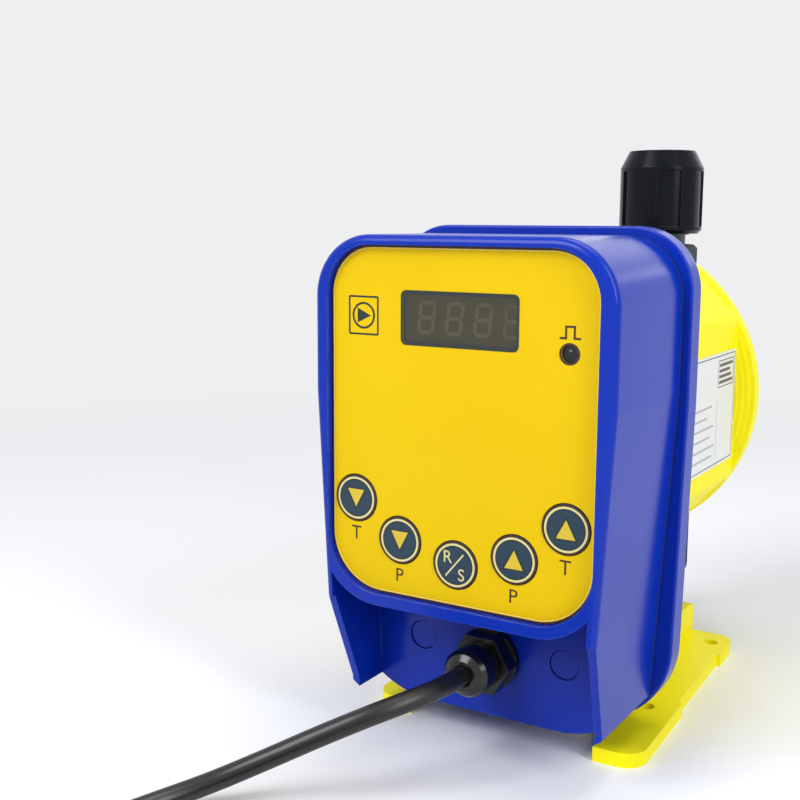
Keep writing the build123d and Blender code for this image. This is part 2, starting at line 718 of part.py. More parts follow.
def make_rear_cover():
    cover = slab(rim_face(), RIM_FRONT, RIM_BACK)
    faces = cover.faces().sort_by(Axis.Y)
    cover = fillet(faces[0].edges() + faces[-1].edges(), EDGE)
    plate_front = RIM_BACK - COVER_T
    cover -= slab(housing_face(WALL), RIM_FRONT, plate_front)
    lower, upper = screw_places()
    for x, z in lower:
        cover -= lying(x, z, SCREW_R + FIT, plate_front, RIM_BACK)
    for x, z in upper:
        cover -= lying(x, z, SCREW_R + GAP, plate_front, RIM_BACK)
    for x, z in cover_screw_places():
        cover -= lying(x, z, SCREW_R + GAP, plate_front, RIM_BACK)
    cover -= lying(0, AXIS_Z - WIRE_DROP, WIRE_R, plate_front, RIM_BACK)
    keep("rear_cover", cover)

    screws = []
    for x, z in cover_screw_places():
        head = lying(x, z, SCREW_HEAD_R, plate_front - SCREW_HEAD_H, plate_front)
        shank = lying(x, z, SCREW_R, plate_front, RIM_BACK + COVER_SCREW_LENGTH)
        slot = slab(Pos(x, z) * hexagon(SCREW_HEAD_R),
                    plate_front - SCREW_HEAD_H, plate_front - SCREW_HEAD_H / 2)
        screws.append(head + shank - slot)
    keep("cover_screws", as_group(screws))


# ================================================================ solenoid drive
def make_motor_housing():
    body = slab(barrel_face(), RIM_BACK, BARREL_BACK)
    body += lying(0, AXIS_Z, DISC_R, BARREL_BACK, DISC_BACK)
    for i in range(DISC_RINGS):
        ring_r = DISC_R - DISC_RING_W * (i + 1)
        step = BARREL_BACK - DISC_STEP * (i + 1)
        body += lying(0, AXIS_Z, ring_r, step, step + DISC_STEP)
    body -= lying(0, AXIS_Z, CUP_R + FIT, CUP_FRONT, DISC_BACK)
    body -= lying(0, AXIS_Z - WIRE_DROP, WIRE_R, RIM_BACK, CUP_FRONT)
    for x, z in cover_screw_places():
        body -= lying(x, z, SCREW_R + FIT, RIM_BACK, RIM_BACK + COVER_SCREW_LENGTH + EDGE)
    saddle = AXIS_Z - BARREL_TOP
    for x, y in base_screw_places():
        body -= upright(Pos(x, y) * Circle(M5_R + FIT), saddle,
                        saddle + BASE_SCREW_GRIP + EDGE)
    for x, z in head_bolt_places():
        body -= lying(x, z, M5_R + FIT, DISC_BACK - 2 * EDGE, DISC_BACK)
    keep("motor_housing", body)

    height = LABEL_HIGH - LABEL_LOW
    length = LABEL_TO - LABEL_FROM
    plate = Pos(FRONT + LABEL_FROM + length / 2, LABEL_LOW + height / 2) * RectangleRounded(
        length, height, EDGE)
    label = extrude(Plane.YZ.offset(BARREL_HALF) * plate, amount=LABEL_T)
    keep("side_label", label)


def make_solenoid():
    cup = lying(0, AXIS_Z, CUP_R, CUP_FRONT, CUP_BACK)
    cup -= lying(0, AXIS_Z, CUP_R - CUP_T, COIL_FRONT, CUP_BACK)
    cup -= lying(0, AXIS_Z - WIRE_DROP, WIRE_R, CUP_FRONT, COIL_FRONT)
    keep("magnet_frame", cup)

    tube_r = BOBBIN_R + BOBBIN_T
    flange_r = CUP_R - CUP_T - GAP
    flange = Circle(flange_r) - Circle(BOBBIN_R)
    flange = Pos(0, AXIS_Z) * flange
    front_flange = flange - Pos(0, AXIS_Z - WIRE_DROP) * Circle(WIRE_R)
    spool = slab(front_flange, COIL_FRONT, COIL_FRONT + BOBBIN_FLANGE)
    spool += slab(flange, BOBBIN_BACK - BOBBIN_FLANGE, BOBBIN_BACK)
    spool += pipe(0, AXIS_Z, tube_r, BOBBIN_R, COIL_FRONT, BOBBIN_BACK)
    keep("coil_bobbin", spool)
    keep("coil_winding", pipe(0, AXIS_Z, WINDING_R, tube_r + FIT,
                              COIL_FRONT + BOBBIN_FLANGE + GAP,
                              BOBBIN_BACK - BOBBIN_FLANGE - GAP))

    pole_back = CUP_BACK + POLE_T
    nose_r = BOBBIN_R - GAP
    pole = lying(0, AXIS_Z, CUP_R, CUP_BACK, pole_back)
    pole += lying(0, AXIS_Z, nose_r, NOSE_FRONT, CUP_BACK)
    pole -= lying(0, AXIS_Z, BUSH_R + FIT, NOSE_FRONT, pole_back)
    keep("pole_piece", pole)

    bushes = []
    for start in (NOSE_FRONT + EDGE, pole_back - BUSH_LENGTH):
        bushes.append(pipe(0, AXIS_Z, BUSH_R, ROD_R + FIT, start, start + BUSH_LENGTH))
    keep("guide_bushes", as_group(bushes))

    armature_back = NOSE_FRONT - STROKE - STROKE_SLACK
    plunger = lying(0, AXIS_Z, nose_r, ARMATURE_FRONT, armature_back)
    plunger -= lying(0, AXIS_Z, ROD_R + FIT, ARMATURE_FRONT, armature_back)
    seat = armature_back - SPRING_SEAT
    plunger -= lying(0, AXIS_Z, SPRING_R + SPRING_WIRE + GAP, seat, armature_back)
    keep("armature", plunger)

    rod = lying(0, AXIS_Z, ROD_R, ARMATURE_FRONT, backing_front() + BACKING_T)
    rod += lying(0, AXIS_Z, ROD_R / 2, backing_front() + BACKING_T, ROD_TIP - EDGE)
    keep("push_rod", rod)

    first = seat + SPRING_WIRE
    height = NOSE_FRONT - SPRING_WIRE - first
    spine = Helix(pitch=height / SPRING_TURNS, height=height, radius=SPRING_R)
    wire = Plane(spine @ 0, z_dir=spine % 0) * Circle(SPRING_WIRE)
    coil = sweep(wire, path=spine, is_frenet=True)
    place = Plane(origin=(0, FRONT + first, AXIS_Z), x_dir=(1, 0, 0), z_dir=(0, 1, 0))
    keep("return_spring", place * coil)


# ================================================================ liquid end
def head_bolt_places():
    reach = HEAD_BOLT_PCD / 2 * cos(radians(45))
    return [(x * reach, AXIS_Z + z * reach) for x in (1, -1) for z in (1, -1)]


def backing_front():
    return ADAPTER_BACK - GAP - BACKING_T


def make_liquid_end():
    adapter = pipe(0, AXIS_Z, ADAPTER_R, ADAPTER_BORE, DISC_BACK, ADAPTER_BACK)
    middle = (DISC_BACK + ADAPTER_BACK - ADAPTER_LIP) / 2
    drain = upright(Pos(0, FRONT + middle) * RectangleRounded(
        ADAPTER_SLOT, ADAPTER_SLOT * 2, ADAPTER_SLOT / 2 - GAP), AXIS_Z - 2 * ADAPTER_R, AXIS_Z)
    adapter -= drain
    for x, z in head_bolt_places():
        adapter -= lying(x, z, M5_R + FIT, ADAPTER_BACK - HEAD_BOLT_GRIP - EDGE, ADAPTER_BACK)
    keep("head_adapter", adapter)

    front = backing_front()
    disc = pipe(0, AXIS_Z, BACKING_R, ROD_R + FIT, front, front + BACKING_T)
    disc = fillet(disc.edges().group_by(Axis.Y)[0], EDGE)
    keep("backing_disc", disc)

    rim_front = ADAPTER_BACK
    rim_back = ADAPTER_BACK + DIAPHRAGM_T
    hub_back = ROD_TIP + EDGE
    roll_in = CHAMBER_R - ROLL_W
    roll_top = CHAMBER_R - ROLL_W / 2
    profile = [
        (ROD_R / 2 + FIT, rim_front), (roll_in, rim_front), (roll_top, rim_front - ROLL_RISE),
        (CHAMBER_R, rim_front), (DIAPHRAGM_R, rim_front), (DIAPHRAGM_R, rim_back),
        (CHAMBER_R, rim_back), (roll_top, rim_back - ROLL_RISE), (roll_in, rim_back),
        (DIAPHRAGM_HUB, rim_back), (DIAPHRAGM_HUB - EDGE, hub_back),
        (0, hub_back), (0, ROD_TIP), (ROD_R / 2 + FIT, ROD_TIP),
    ]
    keep("diaphragm", spin_y(profile))
    make_head()
    make_head_bolts()


def make_head():
    rim_back = ADAPTER_BACK + DIAPHRAGM_T
    head = lying(0, AXIS_Z, HEAD_R, rim_back, HEAD_BACK)
    head = chamfer(head.edges().group_by(Axis.Y)[-1], HEAD_EDGE)
    flow_y = FRONT + FLOW_D
    pad = Pos(0, flow_y) * hexagon(HEX_AF)
    head += upright(pad, AXIS_Z - HEX_IN + SEAL_T, AXIS_Z + HEX_IN - SEAL_T)
    chamber = [(0, rim_back), (CHAMBER_R, rim_back), (CHAMBER_R / 2, rim_back + CHAMBER_DEPTH),
               (0, rim_back + CHAMBER_DEPTH)]
    head -= spin_y(chamber)
    head -= lying(0, AXIS_Z, PORT_R, rim_back, FLOW_D)
    head -= upright(Pos(0, flow_y) * Circle(PORT_R), AXIS_Z - SPIGOT_IN, AXIS_Z + SPIGOT_IN)
    bore = Pos(0, flow_y) * Circle(SPIGOT_R + FIT)
    head -= upright(bore, AXIS_Z + SPIGOT_IN, AXIS_Z + HEX_IN)
    head -= upright(bore, AXIS_Z - HEX_IN, AXIS_Z - SPIGOT_IN)
    for x, z in head_bolt_places():
        head -= lying(x, z, M5_R + GAP, rim_back, HEAD_BACK)
    keep("pump_head", head)


def make_head_bolts():
    bolts = []
    seat = HEAD_BACK + WASHER_T
    for x, z in head_bolt_places():
        bolt = lying(x, z, M5_HEAD_R + WASHER_RIM, HEAD_BACK, seat)
        bolt += lying(x, z, M5_HEAD_R, seat, seat + M5_HEAD_H)
        bolt += lying(x, z, M5_R, ADAPTER_BACK - HEAD_BOLT_GRIP, HEAD_BACK)
        bolt -= slab(Pos(x, z) * hexagon(M5_HEAD_R), seat + M5_HEAD_H / 2, seat + M5_HEAD_H)
        bolts.append(bolt)
    keep("head_bolts", as_group(bolts))


def stacked(shape, start, end, way):
    """Extrude a plan section between two distances from the axis, up or down."""
    placed = Pos(0, FRONT + FLOW_D) * shape
    low, high = sorted((AXIS_Z + way * start, AXIS_Z + way * end))
    return upright(placed, low, high)


def turned(points, way):
    """Revolve a (radius, distance from the axis) outline about the flow line."""
    placed = [(r, way * h) for r, h in points]
    plane = Plane(origin=(0, FRONT + FLOW_D, AXIS_Z), x_dir=(1, 0, 0), z_dir=(0, -1, 0))
    face = plane * make_face(Polyline(*placed, close=True))
    return revolve(face, Axis((0, FRONT + FLOW_D, 0), (0, 0, 1)), 360)


def make_valve(side, way):
    """One valve with its tube connection: way is 1 above the head, -1 below."""
    ball_room = BALL_R * 2 + BALL_LIFT + BALL_AIR * 2
    room_end = SPIGOT_IN + SEAT_T + ball_room
    body = stacked(Circle(SPIGOT_R), SPIGOT_IN, HEX_IN, way)
    block = stacked(hexagon(HEX_AF), HEX_IN, HEX_OUT, way)
    outer = block.faces().sort_by(Axis.Z)[-1 if way > 0 else 0]
    body += chamfer(outer.edges(), HEAD_EDGE)
    body += stacked(Circle(NECK_R), HEX_OUT, NECK_OUT, way)
    body += stacked(Circle(THREAD_R), NECK_OUT, THREAD_OUT, way)
    body -= stacked(Circle(SPIGOT_R - SPIGOT_WALL), SPIGOT_IN, room_end, way)
    body -= stacked(Circle(PORT_R), room_end, THREAD_OUT, way)
    keep(side + "_valve_body", body)

    low = AXIS_Z + SPIGOT_IN if way > 0 else AXIS_Z - room_end
    seat = upright(Pos(0, FRONT + FLOW_D) * (Circle(SPIGOT_R - SPIGOT_WALL - FIT) - Circle(SEAT_R)),
                   low, low + SEAT_T)
    rise = sqrt(BALL_R ** 2 - SEAT_R ** 2)
    centre = low + SEAT_T + rise + BALL_AIR
    keep(side + "_ball", Pos(0, FRONT + FLOW_D, centre) * Sphere(BALL_R))

    seal = stacked(Circle(SPIGOT_R + SEAL_W) - Circle(SPIGOT_R + FIT), HEX_IN - SEAL_T, HEX_IN, way)

    flange_out = THREAD_OUT + NIPPLE_FLANGE_T
    nipple = turned([
        (NIPPLE_BORE, THREAD_OUT), (NIPPLE_FLANGE_R, THREAD_OUT), (NIPPLE_FLANGE_R, flange_out),
        (NIPPLE_R, flange_out), (NIPPLE_R, NIPPLE_OUT - NIPPLE_TAPER), (NIPPLE_TIP_R, NIPPLE_OUT),
        (NIPPLE_BORE, NIPPLE_OUT)], way)

    roof_in = NUT_OUT - NUT_ROOF
    ring = turned([
        (CLAMP_BORE, CLAMP_IN), (CLAMP_R - CLAMP_TAPER, CLAMP_IN), (CLAMP_R, CLAMP_IN + CLAMP_TAPER),
        (CLAMP_R, roof_in - GAP), (CLAMP_BORE, roof_in - GAP)], way)
    keep(side + "_clamp_ring", ring)

    make_union_nut(side, way, roof_in)
    return seat, seal, nipple


def make_union_nut(side, way, roof_in):
    bore = THREAD_R + NUT_PLAY
    rim = HEAD_EDGE
    nut = turned([
        (bore, NUT_IN), (NUT_R - rim, NUT_IN), (NUT_R, NUT_IN + rim),
        (NUT_R, NUT_OUT - NUT_SHOULDER), (NUT_CROWN_R, NUT_OUT),
        (TUBE_HOLE_R, NUT_OUT), (TUBE_HOLE_R, roof_in), (bore, roof_in)], way)
    low = NUT_IN + rim * 2
    high = NUT_OUT - NUT_SHOULDER - rim
    floor_r = NUT_R - NUT_PANEL_DEPTH
    for i in range(NUT_PANELS):
        turn = 360 / NUT_PANELS * i
        half = radians(NUT_PANEL_ANGLE / 2)
        reach = NUT_R + PAST
        wedge = make_face(Polyline(
            (0, 0), (reach * cos(half), -reach * sin(half)),
            (reach * cos(half), reach * sin(half)), close=True))
        panel = Rot(0, 0, turn) * (wedge - Circle(floor_r))
        nut -= stacked(panel, low, high, way)
    keep(side + "_union_nut", nut)


def make_valves():
    seats, seals, nipples = [], [], []
    for side, way in (("discharge", 1), ("suction", -1)):
        seat, seal, nipple = make_valve(side, way)
        seats.append(seat)
        seals.append(seal)
        nipples.append(nipple)
    keep("valve_seats", as_group(seats))
    keep("valve_seals", as_group(seals))
    keep("hose_nipples", as_group(nipples))


# ================================================================ mains lead
def make_gland():
    bore = CORD_R + GLAND_PLAY
    flange_front = RECESS_BACK - GLAND_FLANGE_T
    body = lying(0, GLAND_Z, GLAND_FLANGE_R, flange_front, RECESS_BACK)
    body += slab(Pos(0, GLAND_Z) * hexagon(GLAND_HEX_AF), GLAND_HEX_FRONT, flange_front)
    body += lying(0, GLAND_Z, GLAND_SPIGOT_R, SEAL_BACK, GLAND_HEX_FRONT)
    body += lying(0, GLAND_Z, GLAND_THREAD_R, RECESS_BACK, GLAND_TAIL)
    body -= lying(0, GLAND_Z, bore, SEAL_BACK, GLAND_TAIL)
    keep("gland_body", body)

    nut_back = GLAND_HEX_FRONT - GAP
    dome = GLAND_NUT_DOME
    inner = GLAND_SPIGOT_R + FIT
    nut = spin_y([
        (CORD_R + GAP, GLAND_NUT_FRONT), (GLAND_NUT_R - dome, GLAND_NUT_FRONT),
        (GLAND_NUT_R - dome / 3, GLAND_NUT_FRONT + dome / 2),
        (GLAND_NUT_R, GLAND_NUT_FRONT + dome), (GLAND_NUT_R, nut_back),
        (inner, nut_back), (inner, SEAL_FRONT), (CORD_R + GAP, SEAL_FRONT)], 0, GLAND_Z)
    keep("gland_nut", nut)
    keep("gland_seal", pipe(0, GLAND_Z, GLAND_SPIGOT_R - GAP, CORD_R + GAP, SEAL_FRONT, SEAL_BACK))

    bay_back = RECESS_BACK + WALL
    ring = hexagon(GLAND_HEX_AF) - Circle(GLAND_THREAD_R + FIT)
    keep("gland_locknut", slab(Pos(0, GLAND_Z) * ring, bay_back, bay_back + LOCKNUT_T))


def tangent_route(points):
    """Straight runs joined by arcs: the line and the radius of each arc."""
    corners = [Vector(*p) for p in points]
    radii = []
    for before, here, after in zip(corners, corners[1:], corners[2:]):
        run_in = here - before
        run_out = after - here
        half_turn = radians(run_in.get_angle(run_out)) / 2
        radii.append(0.45 * min(run_in.length, run_out.length) / tan(half_turn))
    return FilletPolyline(*points, radius=radii), radii


def make_cord():
    line, radii = tangent_route(CORD_ROUTE)
    print("lead arcs, radius in mm:", [round(r, 1) for r in radii])
    section = Plane(line @ 0, z_dir=line % 0) * Circle(CORD_R)
    tube = sweep(section, path=line)
    expected = pi * CORD_R ** 2 * line.length
    print("lead tube volume against section times length:", round(tube.volume / expected, 4))
    keep("mains_cord", tube)

    thick = 2 * CORD_R
    spread = COIL_TURNS_A_LAYER * thick / 2 + GAP
    ring = Pos(COIL_X, COIL_Y) * (Circle(COIL_MEAN_R + spread) - Circle(COIL_MEAN_R - spread))
    coil = upright(ring, 0, COIL_LAYERS * thick)
    keep("cord_coil", fillet(coil.edges(), COIL_EDGE))


def make_plug():
    """Moulded plug beside the coil, on the tangent where the lead leaves it."""
    outer_turn = COIL_MEAN_R + (COIL_TURNS_A_LAYER - 1) * CORD_R
    top_turn = 2 * CORD_R * (COIL_LAYERS - 0.5)
    plug_z = PLUG_H / 2
    leave = radians(COIL_LEAVE)
    heading = Vector(-sin(leave), cos(leave), 0)
    touch = Vector(COIL_X + outer_turn * cos(leave), COIL_Y + outer_turn * sin(leave), 0)
    across = Vector(cos(leave), sin(leave), 0)

    def section(s):
        return Plane(origin=touch + heading * s + Vector(0, 0, plug_z), x_dir=across,
                     z_dir=heading)

    path = Line(touch + heading * TAIL_FROM + Vector(0, 0, top_turn),
                touch + heading * TAIL_TO + Vector(0, 0, plug_z))
    tail = sweep(Plane(path @ 0, z_dir=path % 0) * Circle(CORD_R), path=path)
    keep("cord_tail", tail)

    widening = degrees(atan2(PLUG_NECK_R - PLUG_NECK_TIP, PLUG_NECK))
    relief = extrude(section(TAIL_TO) * Circle(PLUG_NECK_TIP), amount=PLUG_NECK, taper=-widening)
    back = TAIL_TO + PLUG_NECK
    outline = RectangleRounded(2 * PLUG_HALF_W, PLUG_H, PLUG_CORNER)
    grip = extrude(section(back) * outline, amount=PLUG_LENGTH)
    near_neck = grip.faces().sort_by(Axis(section(0).origin, heading))[0]
    grip = fillet(near_neck.edges(), PLUG_SHOULDER)
    keep("plug_body", relief + grip)

    face = section(back + PLUG_LENGTH)
    blades = [
        Pos(PIN_SPREAD, -PIN_LOW) * Rot(0, 0, PIN_TILT),
        Pos(-PIN_SPREAD, -PIN_LOW) * Rot(0, 0, -PIN_TILT),
        Pos(0, PIN_HIGH),
    ]
    pins = [extrude(face * place * Rectangle(PIN_T, PIN_W), amount=PIN_LENGTH)
            for place in blades]
    keep("plug_pins", as_group(pins))


# ================================================================ build
make_base()
make_front_housing()
make_housing_fasteners()
make_keypad()
make_electronics()
make_rear_cover()
make_motor_housing()
make_solenoid()
make_liquid_end()
make_valves()
make_gland()
make_cord()
make_plug()

for node, solid in PARTS.items():
    export_step(solid, f"parts/{node}.step")
print(len(PARTS), "nodes")
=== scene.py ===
"""Looks of the solenoid diaphragm metering pump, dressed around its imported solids.

Metres throughout.  X runs to the right of the keypad, Y from the keypad to the
liquid end, Z up; the origin is the middle of the four foot bolts.
"""
import math

import bmesh
import bpy
from mathutils import Matrix, Vector


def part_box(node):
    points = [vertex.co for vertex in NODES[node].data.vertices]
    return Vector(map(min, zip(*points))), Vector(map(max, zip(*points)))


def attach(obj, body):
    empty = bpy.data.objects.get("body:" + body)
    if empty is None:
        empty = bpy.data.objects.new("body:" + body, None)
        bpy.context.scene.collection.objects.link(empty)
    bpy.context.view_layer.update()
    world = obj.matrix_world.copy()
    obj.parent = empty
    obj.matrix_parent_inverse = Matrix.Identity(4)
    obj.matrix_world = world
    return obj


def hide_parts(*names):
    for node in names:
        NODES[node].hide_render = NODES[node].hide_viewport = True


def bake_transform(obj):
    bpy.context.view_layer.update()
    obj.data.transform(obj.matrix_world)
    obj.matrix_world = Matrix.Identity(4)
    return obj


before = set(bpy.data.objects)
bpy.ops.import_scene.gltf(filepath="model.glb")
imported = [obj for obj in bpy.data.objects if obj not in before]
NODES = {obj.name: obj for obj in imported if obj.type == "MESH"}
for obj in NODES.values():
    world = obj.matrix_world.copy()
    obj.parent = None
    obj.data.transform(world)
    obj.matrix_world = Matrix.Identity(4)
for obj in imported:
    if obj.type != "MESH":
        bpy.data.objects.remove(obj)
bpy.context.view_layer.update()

MM = 0.001
TURN = 2 * math.pi
COLOUR_A, COLOUR_B, COLOUR_OUT = 6, 7, 2    # a colour mix's sockets go by number


# ============================================================ camera and lead
EYE = Vector((0.171608, -0.422232, 0.1775))
YAW = math.radians(31.723)
LOOK_DOWN = math.radians(8.83)
ROLL = math.radians(0.261)
LENS_MM = 52.38
SENSOR_MM = 36.0

LEAD_R = 3.3 * MM
LEAD_ROUTE_MM = [
    (0.0, -103.0, 31.0),
    (0.0, -116.4, 31.5),
    (-4.4, -129.0, 30.5),
    (-13.0, -139.9, 27.4),
    (-26.0, -148.3, 20.8),
    (-40.5, -157.0, 12.8),
    (-53.5, -168.5, 6.4),
    (-63.5, -184.0, 3.6),
    (-69.2, -202.0, 3.3),
    (-70.6, -221.0, 3.3),
]
COIL_X = -26.0 * MM
COIL_Y = -239.0 * MM
COIL_MEAN_R = 38.0 * MM
COIL_STEP = 2 * LEAD_R          # from one turn to the next
POINTS_A_TURN = 16
COIL_START = 180.0              # polar angle at which the lead joins the coil
COIL_TURNS = 5.375
LOWER_SHIFTS = (0.75, 1.75)     # turns at which a lower turn moves inwards
LAYER_CLIMB = 2.542             # turn at which the lead climbs to the upper layer
UPPER_SHIFTS = (3.375, 4.375)   # turns at which an upper turn moves outwards
LOWER_SHIFT_TURN = 0.25         # share of a turn that a shift takes below
SHIFT_TURN = 0.1667             # and on top, or in the climb
TAIL_MM = (12.0, 21.0, 30.0)    # along the tangent from the coil to the plug
PLUG_MID_Z = 13.0 * MM


def put_camera():
    data = bpy.data.cameras.new("camera")
    data.lens = LENS_MM
    data.sensor_width = SENSOR_MM
    data.clip_start = 0.01
    data.clip_end = 20.0
    camera = bpy.data.objects.new("camera", data)
    bpy.context.scene.collection.objects.link(camera)
    aim = Matrix.Rotation(YAW, 4, "Z") @ Matrix.Rotation(math.pi / 2 - LOOK_DOWN, 4, "X")
    camera.matrix_world = Matrix.Translation(EYE) @ aim @ Matrix.Rotation(ROLL, 4, "Z")
    bpy.context.scene.camera = camera


def eased(value, start, length):
    """From nought at the start to one a length further, with no sudden bend."""
    share = min(max((value - start) / length, 0.0), 1.0)
    return share * share * (3 - 2 * share)


def coil_points():
    """Two layers of three turns: inwards below, up, and outwards again on top."""
    outer = COIL_MEAN_R + COIL_STEP
    swell = 1 / math.cos(TURN / POINTS_A_TURN / 2)
    points = []
    for i in range(int(COIL_TURNS * POINTS_A_TURN) + 1):
        turns = i / POINTS_A_TURN
        radius = outer
        radius -= COIL_STEP * sum(eased(turns, at, LOWER_SHIFT_TURN) for at in LOWER_SHIFTS)
        radius += COIL_STEP * sum(eased(turns, at, SHIFT_TURN) for at in UPPER_SHIFTS)
        height = LEAD_R + COIL_STEP * eased(turns, LAYER_CLIMB, SHIFT_TURN)
        angle = math.radians(COIL_START) + turns * TURN
        points.append(Vector((COIL_X + radius * swell * math.cos(angle),
                              COIL_Y + radius * swell * math.sin(angle), height)))
    return points


def tail_points():
    """Off the coil along its tangent, rising to the middle of the plug."""
    angle = math.radians(COIL_START) + COIL_TURNS * TURN
    outer = COIL_MEAN_R + COIL_STEP
    touch = Vector((COIL_X + outer * math.cos(angle), COIL_Y + outer * math.sin(angle), 0))
    heading = Vector((-math.sin(angle), math.cos(angle), 0))
    low = LEAD_R + COIL_STEP
    points = []
    for i, along in enumerate(TAIL_MM):
        rise = (PLUG_MID_Z - low) * i / (len(TAIL_MM) - 1)
        points.append(touch + heading * along * MM + Vector((0, 0, low + rise)))
    return points


def make_lead():
    route = [Vector(p) * MM for p in LEAD_ROUTE_MM] + coil_points() + tail_points()
    curve = bpy.data.curves.new("mains_lead", "CURVE")
    curve.dimensions = "3D"
    curve.bevel_depth = 1.0     # times the radius that each point holds
    curve.bevel_resolution = 5
    curve.use_fill_caps = True
    spline = curve.splines.new("NURBS")
    spline.points.add(len(route) - 1)
    for point, place in zip(spline.points, route):
        point.co = (*place, 1.0)
        point.radius = LEAD_R
    spline.order_u = 3
    spline.use_endpoint_u = True
    spline.resolution_u = 8
    spline.use_smooth = True
    lead = bpy.data.objects.new("mains_lead", curve)
    bpy.context.scene.collection.objects.link(lead)
    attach(lead, "root")
    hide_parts("mains_cord", "cord_coil", "cord_tail")
    return lead


put_camera()
lead = make_lead()


# ============================================================ shader groups
def srgb(red, green, blue):
    """A colour as it is seen, 0 to 255, in linear values."""
    def linear(value):
        value /= 255
        return value / 12.92 if value <= 0.04045 else ((value + 0.055) / 1.055) ** 2.4
    return (linear(red), linear(green), linear(blue), 1.0)


def new_group(name, inputs, outputs):
    group = bpy.data.node_groups.new(name, "ShaderNodeTree")
    for label, kind, default in inputs:
        socket = group.interface.new_socket(label, in_out="INPUT", socket_type=kind)
        if default is not None:
            socket.default_value = default
    for label, kind in outputs:
        group.interface.new_socket(label, in_out="OUTPUT", socket_type=kind)
    return group, group.nodes.new("NodeGroupInput"), group.nodes.new("NodeGroupOutput")


def add(tree, kind, links=(), **settings):
    """A node with its settings, and its inputs linked or given a value by name."""
    node = tree.nodes.new(kind)
    for key, value in settings.items():
        setattr(node, key, value)
    for socket, source in dict(links).items():
        if isinstance(source, bpy.types.NodeSocket):
            tree.links.new(source, node.inputs[socket])
        else:
            node.inputs[socket].default_value = source
    return node


def build_moulded_skin():
    """Fine tool texture and the slow waviness of a moulded wall."""
    group, ins, outs = new_group(
        "moulded_skin",
        [("Grain Scale", "NodeSocketFloat", 2500.0), ("Grain Height", "NodeSocketFloat", 0.3),
         ("Wave Scale", "NodeSocketFloat", 30.0), ("Wave Height", "NodeSocketFloat", 0.5)],
        [("Height", "NodeSocketFloat"), ("Variation", "NodeSocketFloat")])
    place = add(group, "ShaderNodeTexCoord")
    grain = add(group, "ShaderNodeTexNoise", {
        "Vector": place.outputs["Object"], "Scale": ins.outputs["Grain Scale"], "Detail": 3.0})
    wave = add(group, "ShaderNodeTexNoise", {
        "Vector": place.outputs["Object"], "Scale": ins.outputs["Wave Scale"], "Detail": 1.0})
    fine = add(group, "ShaderNodeMath", {0: grain.outputs["Fac"],
                                         1: ins.outputs["Grain Height"]}, operation="MULTIPLY")
    slow = add(group, "ShaderNodeMath", {0: wave.outputs["Fac"],
                                         1: ins.outputs["Wave Height"]}, operation="MULTIPLY")
    total = add(group, "ShaderNodeMath", {0: fine.outputs[0], 1: slow.outputs[0]},
                operation="ADD")
    patches = add(group, "ShaderNodeTexNoise", {
        "Vector": place.outputs["Object"], "Scale": 12.0, "Detail": 4.0, "Roughness": 0.6})
    group.links.new(total.outputs[0], outs.inputs["Height"])
    group.links.new(patches.outputs["Fac"], outs.inputs["Variation"])
    return group


def build_soft_edges():
    """A rounded normal along each edge, and a mask of the edges, partly where handling
    has worn them and partly a painted highlight that lightens them.
    """
    group, ins, outs = new_group(
        "soft_edges",
        [("Radius", "NodeSocketFloat", 0.0004), ("Wear Width", "NodeSocketFloat", 0.0006),
         ("Wear And Highlight", "NodeSocketFloat", 0.5)],
        [("Normal", "NodeSocketVector"), ("Mask", "NodeSocketFloat")])
    rounded = add(group, "ShaderNodeBevel", {"Radius": ins.outputs["Radius"]}, samples=4)
    wide = add(group, "ShaderNodeBevel", {"Radius": ins.outputs["Wear Width"]}, samples=4)
    flat = add(group, "ShaderNodeNewGeometry")
    dot = add(group, "ShaderNodeVectorMath",
              {0: wide.outputs["Normal"], 1: flat.outputs["Normal"]}, operation="DOT_PRODUCT")
    bend = add(group, "ShaderNodeMapRange", {
        "Value": dot.outputs["Value"], "From Min": 0.995, "From Max": 0.88,
        "To Min": 0.0, "To Max": 1.0})
    place = add(group, "ShaderNodeTexCoord")
    scuffs = add(group, "ShaderNodeTexNoise", {
        "Vector": place.outputs["Object"], "Scale": 140.0, "Detail": 6.0, "Roughness": 0.7})
    broken = add(group, "ShaderNodeMapRange", {
        "Value": scuffs.outputs["Fac"], "From Min": 0.42, "From Max": 0.62,
        "To Min": 0.15, "To Max": 1.0})
    # the edge mask: partly wear, broken up by scuffs, and partly a painted highlight that lightens
    # the edges
    wear_and_highlight = add(group, "ShaderNodeMath", {0: bend.outputs["Result"],
                                         1: broken.outputs["Result"]}, operation="MULTIPLY")
    mask = add(group, "ShaderNodeMath", {0: wear_and_highlight.outputs[0], 1: ins.outputs["Wear And Highlight"]},
               operation="MULTIPLY", use_clamp=True)
    group.links.new(rounded.outputs["Normal"], outs.inputs["Normal"])
    group.links.new(mask.outputs[0], outs.inputs["Mask"])
    return group


MOULDED_SKIN = build_moulded_skin()
SOFT_EDGES = build_soft_edges()


